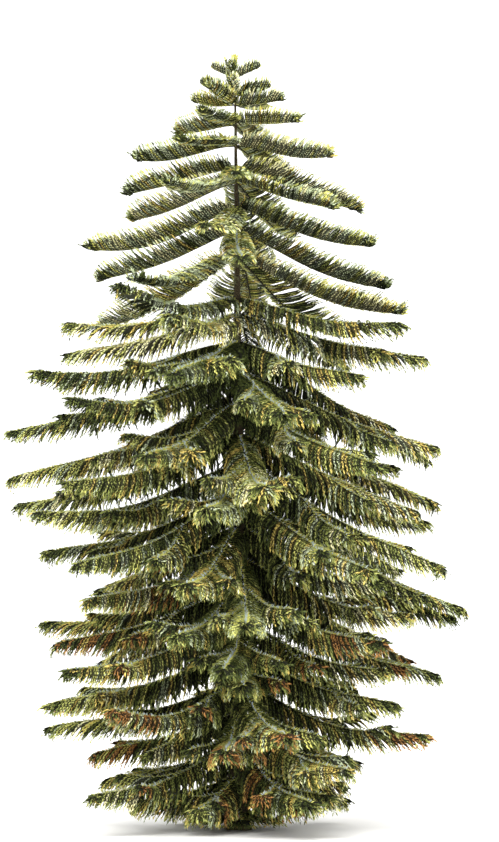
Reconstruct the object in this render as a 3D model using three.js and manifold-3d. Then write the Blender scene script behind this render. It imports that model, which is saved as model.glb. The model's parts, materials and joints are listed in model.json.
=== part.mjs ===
// A Norfolk Island pine rooted in the ground: one straight trunk that carries whorls of frond-like boughs.
// Frame: millimetres, +Z up, origin at the centre of the flat cut under the trunk at ground level.
// The side that is seen from the front faces -Y, with +X to the right.
import * as THREE from "three";
import Module from "manifold-3d";

// Trunk
const HEIGHT = 10000;
const TRUNK_SIDES = 10;
const TRUNK_RINGS = 18;
const TRUNK_BASE_RADIUS = 112;
const TRUNK_TIP_RADIUS = 6;
const TRUNK_TAPER = 0.95;
const RING_CROWDING = 1.6;
const BUD_LENGTH = 30;
const FLARE_DEPTH = 58;
const FLARE_HEIGHT = 240;
const FLARE_LOBES = 5;
const FLARE_LOBE_SHARE = 0.3;
const TIP_LEAN = -45;
const MIDDLE_BOW = 14;
const CLEARANCE = 0.35;

// Whorls: the rings of boughs, from the lowest to the leader's own tuft
// The low ones are evenly spaced and turn by half a step from one to the next
// The high ones, where the trunk shows between them, stand at the heights that the picture shows them at, in line
const LOW_WHORLS = 16;
const LOWEST_WHORL = 270;
const LOW_WHORL_SPACING = 400;
const HIGH_WHORL_HEIGHTS = [6630, 6840, 7390, 7740, 8030, 8360, 8550, 8840, 9110, 9370, 9520, 9740];
const WHORLS = LOW_WHORLS + HIGH_WHORL_HEIGHTS.length;
const BOUGHS_PER_LOW_WHORL = 6;
const BOUGHS_PER_HIGH_WHORL = 4;
const COLLAR_STAND_OUT = 8;
const COLLAR_SHARE = 0.22;
const COLLAR_HEIGHT_SHARE = 1.5;
const ROOT_SHARE = 0.75;
const LOW_AZIMUTH = 17;
const HIGH_AZIMUTH = -14;
const WHORL_TURN_JITTER = 15;
const BOUGH_TURN_JITTER = 12;

// Boughs: each profile gives a size against height, as [share of the tree's height, value]
const CROWN_REACH = [
  [0.033, 470],
  [0.07, 1290],
  [0.11, 2010],
  [0.26, 2500],
  [0.42, 2950],
  [0.54, 2980],
  [0.625, 2800],
  [0.66, 2360],
  [0.74, 2200],
  [0.77, 1930],
  [0.8, 1930],
  [0.836, 1580],
  [0.855, 1520],
  [0.884, 1300],
  [0.911, 960],
  [0.937, 620],
  [0.952, 440],
  [0.974, 320],
  [0.99, 150],
];
const LAUNCH_SLOPE = [
  [0.033, -0.42],
  [0.14, -0.41],
  [0.5, -0.34],
  [0.625, -0.21],
  [0.663, -0.19],
  [0.69, -0.18],
  [0.74, -0.45],
  [0.8, -0.37],
  [0.85, -0.15],
  [0.9, 0.04],
  [0.95, 0.05],
  [0.985, 0.35],
];
const MIDDLE_SLOPE = [
  [0.033, -0.4],
  [0.14, -0.28],
  [0.5, -0.44],
  [0.625, -0.37],
  [0.663, -0.23],
  [0.69, -0.2],
  [0.74, -0.41],
  [0.8, -0.37],
  [0.85, -0.33],
  [0.88, -0.24],
  [0.91, -0.09],
  [0.95, 0.22],
  [0.985, 0.5],
];
const TIP_SLOPE = [
  [0.033, -0.3],
  [0.14, -0.17],
  [0.5, -0.21],
  [0.625, -0.26],
  [0.663, -0.07],
  [0.74, -0.02],
  [0.8, -0.03],
  [0.86, -0.05],
  [0.9, 0.08],
  [0.95, 0.5],
  [0.985, 0.8],
];
const SLOPE_WAVE = [
  [0, 0.1],
  [0.12, 0.16],
  [0.7, 0.14],
  [0.85, 0.07],
  [0.95, 0.02],
];
const LEAST_WAVE_SHARE = 0.35;
const WAVES_PER_BOUGH = 1;
const SIDE_FALL = 0.06;
const FRONT_LIFT = 0.1;
const LOW_REACH_JITTER = 0.16;
const HIGH_REACH_JITTER = 0.06;
const MOST_REACH = 2930;
const SHORT_BOUGH_CHANCE = 0.2;
const SHORT_BOUGH_SHARE = 0.72;
const LOW_SLOPE_JITTER = 0.075;
const HIGH_SLOPE_JITTER = 0.04;
const TIP_SLOPE_JITTER = 0.24;
const SWAY = 0.1;
const GROUND_CLEARANCE = 90;
const NECK_SHARE = 1.35;
const RIB_AT_TRUNK = 0.011;
const RIB_LEAST = 7;
const RIB_AT_TIP_SHARE = 0.3;

// Sprays: the pointed side shoots along a bough, each standing for a handful of needled branchlets
const SPRAY_LENGTH = [
  [0, 470],
  [0.56, 460],
  [0.7, 410],
  [0.8, 360],
  [0.9, 290],
  [0.95, 200],
  [1, 100],
];
const SPRAY_PITCH = [
  [0, -52],
  [0.66, -46],
  [0.688, -32],
  [0.712, 28],
  [0.75, 42],
  [0.8, 47],
  [1, 52],
];
const SPRAY_SWEEP_AT_TRUNK = 66;
const SPRAY_SWEEP_AT_TIP = 42;
const SPRAY_LENGTH_ALONG_BOUGH = [
  [0, 0.5],
  [0.1, 0.75],
  [0.3, 1],
  [0.7, 0.95],
  [0.92, 0.8],
  [1, 0.5],
];
const SPRAY_SPACING = 600;
const SPRAYS_LEAST = 3;
const NOTCH_SHARE = 0.5;
const STEM_SHARE = 1.3;
const LAST_NOTCH = 0.955;

// Side boughs: a long bough may carry one shorter frond of its own
const FORK_MIN_REACH = 2000;
const FORK_CHANCE = 0.15;
const FORK_AT = 0.46;
const FORK_SPREAD = 30;
const FORK_SHARE = 0.4;

// Chance: every bough draws its own numbers, one channel for each use
const LOW_SEED = 255.5;
const HIGH_SEED = 21.7;
const WHORL_WAVE = 12.9898;
const BOUGH_WAVE = 78.233;
const CHANNEL_WAVE = 37.719;
const WAVE_SIZE = 43758.5453;
const CHANNELS = {
  turn: 1,
  reach: 2,
  short: 3,
  slope: 4,
  tip: 5,
  sway: 6,
  fork: 7,
  forkSide: 8,
  whorlTurn: 9,
  wave: 10,
};

const UP = new THREE.Vector3(0, 0, 1);
const FRAME_STEP = 0.01;
const SAME_POINT = 0.001;

const wasm = await Module();
wasm.setup();

// A repeatable number from 0 to 1 for one bough of one whorl and one use.
function chance(whorl, bough, channel) {
  const seed = whorl > LOW_WHORLS ? HIGH_SEED : LOW_SEED;
  const angle = whorl * WHORL_WAVE + bough * BOUGH_WAVE + channel * CHANNEL_WAVE + seed;
  const wave = Math.sin(angle) * WAVE_SIZE;
  return wave - Math.floor(wave);
}

// The same number from -1 to 1.
function jitter(whorl, bough, channel) {
  return 2 * chance(whorl, bough, channel) - 1;
}

// A profile's value at one place, on straight lines between its pairs.
function along(profile, place) {
  const next = profile.findIndex(([at]) => at >= place);
  if (next < 0) return profile[profile.length - 1][1];
  if (next === 0) return profile[0][1];
  const [fromAt, fromValue] = profile[next - 1];
  const [toAt, toValue] = profile[next];
  return THREE.MathUtils.mapLinear(place, fromAt, toAt, fromValue, toValue);
}

// The trunk's centreline: a slight bow and a slight lean.
function trunkCentre(z) {
  const share = z / HEIGHT;
  return new THREE.Vector3(TIP_LEAN * share ** 2 + MIDDLE_BOW * Math.sin(Math.PI * share), 0, z);
}

// The trunk's radius without its root flare.
function trunkRadius(z) {
  const share = Math.max(0, 1 - z / HEIGHT);
  return TRUNK_TIP_RADIUS + (TRUNK_BASE_RADIUS - TRUNK_TIP_RADIUS) * share ** TRUNK_TAPER;
}

// One level ring round the trunk, lobed where the roots flare.
function trunkRing(z, extra) {
  const centre = trunkCentre(z);
  const flare = FLARE_DEPTH * Math.exp(-z / FLARE_HEIGHT);
  return Array.from({ length: TRUNK_SIDES }, (_, side) => {
    const angle = (2 * Math.PI * side) / TRUNK_SIDES;
    const lobe = 1 + FLARE_LOBE_SHARE * Math.cos(FLARE_LOBES * angle);
    const radius = trunkRadius(z) + flare * lobe + extra;
    return new THREE.Vector3(Math.cos(angle), Math.sin(angle), 0).multiplyScalar(radius).add(centre);
  });
}

// A closed surface through rings of one length, flat at the first ring and pointed at the tip.
// The rings run anticlockwise about the way they travel, and the quads' diagonals alternate.
function loft(rings, tip) {
  const count = rings[0].length;
  const points = [...rings.flat(), tip];
  const apex = points.length - 1;
  const index = [];
  rings.forEach((ring, level) => {
    ring.forEach((_, corner) => {
      const a = level * count + corner;
      const b = level * count + ((corner + 1) % count);
      if (level === rings.length - 1) {
        index.push(a, b, apex);
        return;
      }
      const c = b + count;
      const d = a + count;
      if ((level + corner) % 2) index.push(a, b, d, b, c, d);
      else index.push(a, b, c, a, c, d);
    });
  });
  for (let corner = 1; corner < count - 1; corner++) index.push(0, corner + 1, corner);
  return new THREE.BufferGeometry().setFromPoints(points).setIndex(index);
}

// The trunk from its flat cut at ground level to its bud, thickened by extra for cutting what goes round it.
function trunkGeometry(extra) {
  const rings = [];
  for (let level = 0; level <= TRUNK_RINGS; level++) {
    const z = (HEIGHT - BUD_LENGTH) * (level / TRUNK_RINGS) ** RING_CROWDING;
    rings.push(trunkRing(z, extra));
  }
  return loft(rings, trunkCentre(HEIGHT).add(new THREE.Vector3(0, 0, extra)));
}

// A bough's centreline from a point: it runs out at an azimuth, its slope turns from launch to tip,
// and on the way it falls, levels out and falls again by a wave.
function boughAxis(origin, azimuth, reach, [launch, middle, tip], sway, wave) {
  const out = new THREE.Vector3(Math.cos(azimuth), Math.sin(azimuth), 0);
  const aside = new THREE.Vector3(-out.y, out.x, 0);
  const linear = -3 * launch + 4 * middle - tip;
  const square = 2 * launch - 4 * middle + 2 * tip;
  const turns = 2 * Math.PI * WAVES_PER_BOUGH;
  const point = (t) => {
    const dip = (wave * (1 - Math.cos(turns * t))) / turns;
    const rise = launch * t + (linear * t ** 2) / 2 + (square * t ** 3) / 3 - dip;
    return origin
      .clone()
      .addScaledVector(out, reach * t)
      .addScaledVector(aside, reach * sway * t ** 2)
      .addScaledVector(UP, reach * rise);
  };
  const frame = (t) => {
    const forward = point(t + FRAME_STEP).sub(point(t - FRAME_STEP)).normalize();
    const left = UP.clone().cross(forward).normalize();
    return { centre: point(t), forward, left, up: forward.clone().cross(left) };
  };
  const slope = (t) => launch + linear * t + square * t ** 2 - wave * Math.sin(turns * t);
  return { point, frame, slope, reach, azimuth };
}

// The level change from a bough's root to its tip, as a share of its reach.
function riseOf([launch, middle, tip]) {
  return (launch + 4 * middle + tip) / 6;
}

// One section of a frond: the rib's top and bottom, and the outer points of its right and left sides.
function frondSection(axis, t, rib, spread, pitch) {
  const { centre, forward, left, up } = axis.frame(t);
  const sweep = THREE.MathUtils.degToRad(THREE.MathUtils.lerp(SPRAY_SWEEP_AT_TRUNK, SPRAY_SWEEP_AT_TIP, t));
  const outer = (side) => {
    const point = centre
      .clone()
      .addScaledVector(forward, spread * Math.cos(sweep))
      .addScaledVector(left, side * spread * Math.sin(sweep) * Math.cos(pitch))
      .addScaledVector(up, spread * Math.sin(sweep) * Math.sin(pitch));
    point.z = Math.max(point.z, RIB_LEAST);
    return point;
  };
  const top = centre.clone().addScaledVector(up, rib);
  const bottom = centre.clone().addScaledVector(up, -rib);
  return [top, outer(-1), bottom, outer(1)];
}

// A frond: a tapering rib whose toothed sides are its sprays, cut back part of the way between them.
// It starts inside what carries it and is bare as far as its neck.
function frondGeometry(axis, height, ribAtRoot, neckLength) {
  const neck = neckLength / axis.reach;
  const sprays = Math.max(SPRAYS_LEAST, Math.round(axis.reach / SPRAY_SPACING));
  const pitch = THREE.MathUtils.degToRad(along(SPRAY_PITCH, height));
  const sprayLength = along(SPRAY_LENGTH, height);
  const ribAt = (t) => ribAtRoot * THREE.MathUtils.lerp(1, RIB_AT_TIP_SHARE, t);
  const sections = [frondSection(axis, 0, ribAtRoot, STEM_SHARE * ribAtRoot, pitch)];
  for (let half = 0; half <= 2 * sprays; half++) {
    const t = THREE.MathUtils.lerp(neck, LAST_NOTCH, half / (2 * sprays));
    const whole = sprayLength * along(SPRAY_LENGTH_ALONG_BOUGH, t);
    const share = half % 2 ? 1 : NOTCH_SHARE;
    const spread = half ? share * whole : STEM_SHARE * ribAtRoot;
    sections.push(frondSection(axis, t, ribAt(t), spread, pitch));
  }
  return loft(sections, axis.point(1));
}

// A whorl's height above the ground.
function whorlHeight(whorl) {
  if (whorl > LOW_WHORLS) return HIGH_WHORL_HEIGHTS[whorl - LOW_WHORLS - 1];
  return LOWEST_WHORL + LOW_WHORL_SPACING * (whorl - 1);
}

// How far one bough reaches from the trunk's centreline. Some of the low ones stay short.
function boughReach(whorl, bough, height) {
  const drawn = jitter(whorl, bough, CHANNELS.reach);
  if (whorl > LOW_WHORLS) return along(CROWN_REACH, height) * (1 + HIGH_REACH_JITTER * drawn);
  const short = chance(whorl, bough, CHANNELS.short) < SHORT_BOUGH_CHANCE ? SHORT_BOUGH_SHARE : 1;
  return Math.min(MOST_REACH, along(CROWN_REACH, height) * short * (1 + LOW_REACH_JITTER * drawn));
}

// The boughs of one whorl, as axes with the size of their ribs. One that would meet the ground falls less.
function whorlBoughs(whorl) {
  const z = whorlHeight(whorl);
  const height = z / HEIGHT;
  const isHigh = whorl > LOW_WHORLS;
  const count = isHigh ? BOUGHS_PER_HIGH_WHORL : BOUGHS_PER_LOW_WHORL;
  const inLine = isHigh ? HIGH_AZIMUTH : LOW_AZIMUTH + (180 / count) * (whorl % 2);
  const slopeJitter = isHigh ? HIGH_SLOPE_JITTER : LOW_SLOPE_JITTER;
  const turn = inLine + WHORL_TURN_JITTER * jitter(whorl, 0, CHANNELS.whorlTurn);
  const boughs = [];
  for (let bough = 0; bough < count; bough++) {
    const degrees = turn + (360 * bough) / count + BOUGH_TURN_JITTER * jitter(whorl, bough, CHANNELS.turn);
    const reach = boughReach(whorl, bough, height);
    const azimuth = THREE.MathUtils.degToRad(degrees);
    const lean = SIDE_FALL * Math.cos(azimuth) + FRONT_LIFT * Math.sin(azimuth);
    const slopes = [
      along(LAUNCH_SLOPE, height) - lean,
      along(MIDDLE_SLOPE, height) - lean + slopeJitter * jitter(whorl, bough, CHANNELS.slope),
      along(TIP_SLOPE, height) - lean + TIP_SLOPE_JITTER * jitter(whorl, bough, CHANNELS.tip),
    ];
    const mostFall = (z - GROUND_CLEARANCE) / reach;
    const fall = -riseOf(slopes);
    const eased = fall > mostFall ? slopes.map((slope) => (slope * mostFall) / fall) : slopes;
    const sway = SWAY * jitter(whorl, bough, CHANNELS.sway);
    const waveShare = THREE.MathUtils.lerp(LEAST_WAVE_SHARE, 1, chance(whorl, bough, CHANNELS.wave));
    const wave = along(SLOPE_WAVE, height) * waveShare;
    const root = ROOT_SHARE * trunkRadius(z);
    const outward = new THREE.Vector3(Math.cos(azimuth), Math.sin(azimuth), 0);
    const origin = trunkCentre(z).addScaledVector(outward, root);
    const axis = boughAxis(origin, azimuth, reach - root, eased, sway, wave);
    const rib = Math.max(RIB_LEAST, RIB_AT_TRUNK * reach);
    boughs.push({ axis, rib, neck: collarRadius(z) * NECK_SHARE - root });
    if (reach > FORK_MIN_REACH && chance(whorl, bough, CHANNELS.fork) < FORK_CHANCE) {
      const side = chance(whorl, bough, CHANNELS.forkSide) < 0.5 ? -1 : 1;
      boughs.push(sideBough(axis, rib, side));
    }
  }
  return { z, height, count, turn: THREE.MathUtils.degToRad(turn), boughs };
}

// A shorter frond that leaves a bough part of the way out.
function sideBough(axis, rib, side) {
  const azimuth = axis.azimuth + side * THREE.MathUtils.degToRad(FORK_SPREAD);
  const slopes = [axis.slope(FORK_AT), axis.slope((FORK_AT + 1) / 2), axis.slope(1)];
  const fork = boughAxis(axis.point(FORK_AT), azimuth, axis.reach * FORK_SHARE, slopes, 0, 0);
  return { axis: fork, rib: rib * FORK_SHARE, neck: rib };
}

// The radius of the collar at a whorl, measured to the middle of its flats.
function collarRadius(z) {
  return trunkRing(z, 0)[0].distanceTo(trunkCentre(z)) * (1 + COLLAR_SHARE) + COLLAR_STAND_OUT;
}

// The swollen collar that joins a whorl's boughs round the trunk, with a flat behind each bough.
function collarGeometry(z, flats, turn) {
  const radius = collarRadius(z);
  const cornerRadius = radius / Math.cos(Math.PI / flats);
  const collar = new THREE.CylinderGeometry(cornerRadius, cornerRadius, radius * COLLAR_HEIGHT_SHARE, flats);
  const centre = trunkCentre(z);
  return collar
    .rotateX(Math.PI / 2)
    .rotateZ(turn + Math.PI / 2 - Math.PI / flats)
    .translate(centre.x, centre.y, centre.z);
}

// A closed geometry as a solid to join and cut, with vertices that lie together made one.
function solidOf(geometry) {
  const place = geometry.getAttribute("position");
  const seen = new Map();
  const points = [];
  const merged = Array.from({ length: place.count }, (_, corner) => {
    const xyz = [place.getX(corner), place.getY(corner), place.getZ(corner)];
    const key = xyz.map((value) => Math.round(value / SAME_POINT)).join();
    if (!seen.has(key)) {
      seen.set(key, points.length / 3);
      points.push(...xyz);
    }
    return seen.get(key);
  });
  const triangles = [];
  const index = geometry.index.array;
  for (let first = 0; first < index.length; first += 3) {
    const [a, b, c] = [merged[index[first]], merged[index[first + 1]], merged[index[first + 2]]];
    if (a !== b && b !== c && c !== a) triangles.push(a, b, c);
  }
  const mesh = new wasm.Mesh({
    numProp: 3,
    vertProperties: new Float32Array(points),
    triVerts: new Uint32Array(triangles),
  });
  return new wasm.Manifold(mesh);
}

// A solid back as a geometry to show.
function geometryOf(solid) {
  const { vertProperties, triVerts } = solid.getMesh();
  const geometry = new THREE.BufferGeometry();
  geometry.setAttribute("position", new THREE.BufferAttribute(vertProperties, 3));
  geometry.setIndex(new THREE.BufferAttribute(triVerts, 1));
  geometry.computeVertexNormals();
  return geometry;
}

// One whorl as one solid: its collar and all its fronds, cut clear of the trunk.
function whorlGeometry(whorl, trunkHole) {
  const { z, height, count, turn, boughs } = whorlBoughs(whorl);
  let solid = solidOf(collarGeometry(z, count, turn));
  for (const { axis, rib, neck } of boughs) {
    solid = solid.add(solidOf(frondGeometry(axis, height, rib, neck)));
  }
  return geometryOf(solid.subtract(trunkHole));
}

const bark = new THREE.MeshStandardMaterial({ color: 0x4a3d2b, roughness: 0.95, metalness: 0 });
const oldNeedles = new THREE.Color(0x5d5f30);
const youngNeedles = new THREE.Color(0x8a8c4a);

const tree = new THREE.Group();
const trunk = new THREE.Mesh(trunkGeometry(0), bark);
trunk.name = "trunk";
tree.add(trunk);

const trunkHole = solidOf(trunkGeometry(CLEARANCE));
for (let whorl = 1; whorl <= WHORLS; whorl++) {
  const colour = oldNeedles.clone().lerp(youngNeedles, whorl / WHORLS);
  const needles = new THREE.MeshStandardMaterial({ color: colour, roughness: 0.7, metalness: 0 });
  const mesh = new THREE.Mesh(whorlGeometry(whorl, trunkHole), needles);
  mesh.name = `whorl_${String(whorl).padStart(2, "0")}`;
  tree.add(mesh);
}

export default tree;
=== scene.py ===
"""The looks of a Norfolk Island pine: bark, boughs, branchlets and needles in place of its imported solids.

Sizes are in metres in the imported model's frame: +Z up, the trunk's foot at the origin, -Y to the front.
"""
import json
import logging
import math
from dataclasses import dataclass, replace
from enum import Enum
from typing import Any, ClassVar, NamedTuple

import bpy
import numpy as np
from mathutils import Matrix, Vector, noise

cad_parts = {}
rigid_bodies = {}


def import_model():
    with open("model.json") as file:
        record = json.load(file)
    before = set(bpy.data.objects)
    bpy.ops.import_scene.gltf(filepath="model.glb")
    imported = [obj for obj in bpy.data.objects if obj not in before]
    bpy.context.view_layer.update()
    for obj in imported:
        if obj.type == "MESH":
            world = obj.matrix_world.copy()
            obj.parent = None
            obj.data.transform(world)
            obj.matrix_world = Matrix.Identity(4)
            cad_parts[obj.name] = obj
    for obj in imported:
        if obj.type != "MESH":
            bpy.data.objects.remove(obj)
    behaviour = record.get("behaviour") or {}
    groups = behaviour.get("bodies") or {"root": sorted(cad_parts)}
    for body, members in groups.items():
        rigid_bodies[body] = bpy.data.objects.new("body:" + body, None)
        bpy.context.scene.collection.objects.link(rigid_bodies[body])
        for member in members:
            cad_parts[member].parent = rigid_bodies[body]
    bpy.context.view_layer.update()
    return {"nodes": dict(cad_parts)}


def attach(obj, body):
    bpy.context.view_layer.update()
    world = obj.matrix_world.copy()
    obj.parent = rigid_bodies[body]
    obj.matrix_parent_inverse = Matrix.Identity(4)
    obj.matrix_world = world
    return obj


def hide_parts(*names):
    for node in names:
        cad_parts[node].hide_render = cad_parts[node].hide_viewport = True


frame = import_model()

LOG = logging.getLogger("norfolk_island_pine")
BODY = "root"
TRUNK_NODE = "trunk"
WHORL_PREFIX = "whorl_"
MOST_TRIANGLES = 190_000
SEAT_MARKS = ("turn", "size", "kind")
GOLDEN_SHARE = (math.sqrt(5) - 1) / 2
GOLDEN_ANGLE = math.pi * (3 - math.sqrt(5))
UP = np.array((0.0, 0.0, 1.0))

# The numbers of node sockets that share a name with others of their node
MIX_COLOURS = (6, 7)
MIXED_COLOUR = 2
RANDOM_ENDS = (2, 3)
RANDOM_NUMBER = 1

Profile = tuple[tuple[float, float], ...]
Slopes = tuple[float, float, float]
Span = tuple[float, float]
Colour = tuple[int, int, int]
Entries = tuple[tuple[str, str], ...]


def along(profile: Profile, place: float | np.ndarray) -> np.ndarray:
    """Read a profile on straight lines between its pairs.

    Args:
        profile: Pairs of a place and the value there.
        place: One place or many.

    Returns:
        The value or values at the place.
    """
    places, values = zip(*profile)
    return np.interp(place, places, values)


def unit(vectors: np.ndarray) -> np.ndarray:
    """Scale vectors, one in each row, to a length of one."""
    return vectors / np.linalg.norm(vectors, axis=-1, keepdims=True)


def linear(colour: Colour) -> tuple[float, float, float, float]:
    """Turn a display colour into the linear one that shaders take.

    Args:
        colour: Red, green and blue from 0 to 255.

    Returns:
        Linear red, green, blue and a full alpha.
    """
    shares = np.array(colour) / 255
    values = np.where(shares <= 0.04045, shares / 12.92, ((shares + 0.055) / 1.055) ** 2.4)
    return (*(float(value) for value in values), 1.0)


def new_object(name: str, mesh: bpy.types.Mesh) -> bpy.types.Object:
    """Link a mesh to the scene as an object at the origin.

    Args:
        name: The object's name.
        mesh: Its mesh, with its place in its vertices.

    Returns:
        The new object.
    """
    piece = bpy.data.objects.new(name, mesh)
    bpy.context.scene.collection.objects.link(piece)
    return piece


def new_material(name: str) -> tuple[bpy.types.Material, bpy.types.Node]:
    """Start a material, and give it with its shader.

    Args:
        name: The material's name.

    Returns:
        The material and its shader node.
    """
    material = bpy.data.materials.new(name)
    material.use_nodes = True
    return material, material.node_tree.nodes["Principled BSDF"]


def clear(shapes: bpy.types.Collection) -> None:
    """Take away a collection of shapes once its copies stand.

    Args:
        shapes: The collection.
    """
    for shape in list(shapes.objects):
        bpy.data.objects.remove(shape)
    bpy.data.collections.remove(shapes)


def mesh_of(name: str, points: np.ndarray, faces: list[tuple[int, ...]]) -> bpy.types.Mesh:
    """Make a mesh from points and faces.

    Args:
        name: The mesh's name.
        points: One point in each row.
        faces: The corners of each face, anticlockwise from outside.

    Returns:
        The mesh.
    """
    mesh = bpy.data.meshes.new(name)
    mesh.from_pydata(points.tolist(), [], faces)
    mesh.update()
    return mesh


def loft_faces(rings: int, sides: int, first: int = 0) -> list[tuple[int, ...]]:
    """List the faces of a closed loft: its rings in order, then a tip point, flat at the first ring.

    Args:
        rings: How many rings there are.
        sides: How many points each ring has, anticlockwise about the way the rings travel.
        first: The number of the first ring's first point.

    Returns:
        The corners of each face.
    """
    faces: list[tuple[int, ...]] = [tuple(first + corner for corner in reversed(range(sides)))]
    tip = first + rings * sides
    for ring in range(rings):
        base = first + ring * sides
        for corner in range(sides):
            beside = (corner + 1) % sides
            if ring == rings - 1:
                faces.append((base + corner, base + beside, tip))
            else:
                faces.append((base + corner, base + beside, base + sides + beside, base + sides + corner))
    return faces


class Draw(Enum):
    """The uses that a bough draws its own numbers for. The solids grow by the first ten."""

    TURN = 1
    REACH = 2
    SHORT = 3
    SLOPE = 4
    TIP = 5
    SWAY = 6
    FORK = 7
    FORK_SIDE = 8
    WHORL_TURN = 9
    WAVE = 10
    TWIG_SIDE = 11
    TWIG_PLACE = 12
    TWIG_SPREAD = 13
    TWIG_LIFT = 14


@dataclass(frozen=True)
class Stem:
    """The trunk's driving sizes: its taper, its lean and bow, and its root flare."""

    height: float = 10.0
    base_radius: float = 0.112
    tip_radius: float = 0.006
    taper: float = 0.95
    bud_length: float = 0.03
    tip_lean: float = -0.045
    middle_bow: float = 0.014
    flare_depth: float = 0.058
    flare_height: float = 0.24
    flare_lobes: int = 5
    flare_lobe_share: float = 0.3

    def centre(self, z: float | np.ndarray) -> np.ndarray:
        """Find the centreline's points at some heights.

        Args:
            z: One height or many.

        Returns:
            The points, one in each row.
        """
        level = np.asarray(z, float)
        share = level / self.height
        lean = self.tip_lean * share**2 + self.middle_bow * np.sin(np.pi * share)
        return np.stack([lean, np.zeros_like(level), level], -1)

    def radius(self, z: float | np.ndarray) -> np.ndarray:
        """Find the radius without the root flare at one height or many."""
        share = np.maximum(0, 1 - np.asarray(z, float) / self.height)
        return self.tip_radius + (self.base_radius - self.tip_radius) * share**self.taper

    def flare(self, z: float | np.ndarray, angle: float | np.ndarray) -> np.ndarray:
        """Find how far the root flare stands out at some heights and angles round the trunk."""
        lobe = 1 + self.flare_lobe_share * np.cos(self.flare_lobes * np.asarray(angle))
        return self.flare_depth * np.exp(-np.asarray(z) / self.flare_height) * lobe


@dataclass(frozen=True)
class Bough:
    """One bough's axis: it runs out at an azimuth while its slope turns from launch to tip, with a wave.

    Attributes:
        origin: The point where it starts, under the bark.
        azimuth: The way it runs, in radians from +X.
        reach: Its level length.
        slopes: Its slopes at its launch, middle and tip.
        sway: How far it bends aside, as a share of its reach.
        wave: How much its slope swings as it falls, levels out and falls again.
        height: The share of the tree's height that it starts at.
        rib: Half the thickness of its solid's rib at the root.
        fullness: How long its branchlets are next to those of a bough from the trunk.
        start: The share of the whole bough's reach that it starts at.
    """

    origin: np.ndarray
    azimuth: float
    reach: float
    slopes: Slopes
    sway: float
    wave: float
    height: float
    rib: float
    fullness: float = 1.0
    start: float = 0.0

    WHOLE_WAVE: ClassVar[float] = 2 * math.pi
    AXIS_STEP: ClassVar[float] = 0.01

    @property
    def is_twig(self) -> bool:
        """Tell whether it is one of the finer twigs between the low boughs."""
        return self.start > 0

    def _turns(self) -> Span:
        """Give the linear and square terms of the slope."""
        launch, middle, tip = self.slopes
        return -3 * launch + 4 * middle - tip, 2 * launch - 4 * middle + 2 * tip

    def slope(self, t: float) -> float:
        """Find the slope at one place.

        Args:
            t: The share of the reach there.

        Returns:
            The slope.
        """
        linear_turn, square_turn = self._turns()
        swing = self.wave * math.sin(self.WHOLE_WAVE * t)
        return self.slopes[0] + linear_turn * t + square_turn * t**2 - swing

    def point(self, t: float | np.ndarray) -> np.ndarray:
        """Find points of the axis.

        Args:
            t: Shares of the reach.

        Returns:
            The points, one in each row.
        """
        share = np.asarray(t, float)[..., None]
        linear_turn, square_turn = self._turns()
        out = np.array((math.cos(self.azimuth), math.sin(self.azimuth), 0.0))
        aside = np.array((-out[1], out[0], 0.0))
        dip = self.wave * (1 - np.cos(self.WHOLE_WAVE * share)) / self.WHOLE_WAVE
        rise = self.slopes[0] * share + linear_turn * share**2 / 2 + square_turn * share**3 / 3 - dip
        return self.origin + self.reach * (out * share + aside * self.sway * share**2 + UP * rise)

    def axes(self, t: np.ndarray) -> tuple[np.ndarray, np.ndarray, np.ndarray]:
        """Find the forward, left and up directions along the axis.

        Args:
            t: Shares of the reach.

        Returns:
            The three directions, one of each in each row.
        """
        forward = unit(self.point(t + self.AXIS_STEP) - self.point(t - self.AXIS_STEP))
        left = unit(np.cross(UP, forward))
        return forward, left, np.cross(forward, left)


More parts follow.
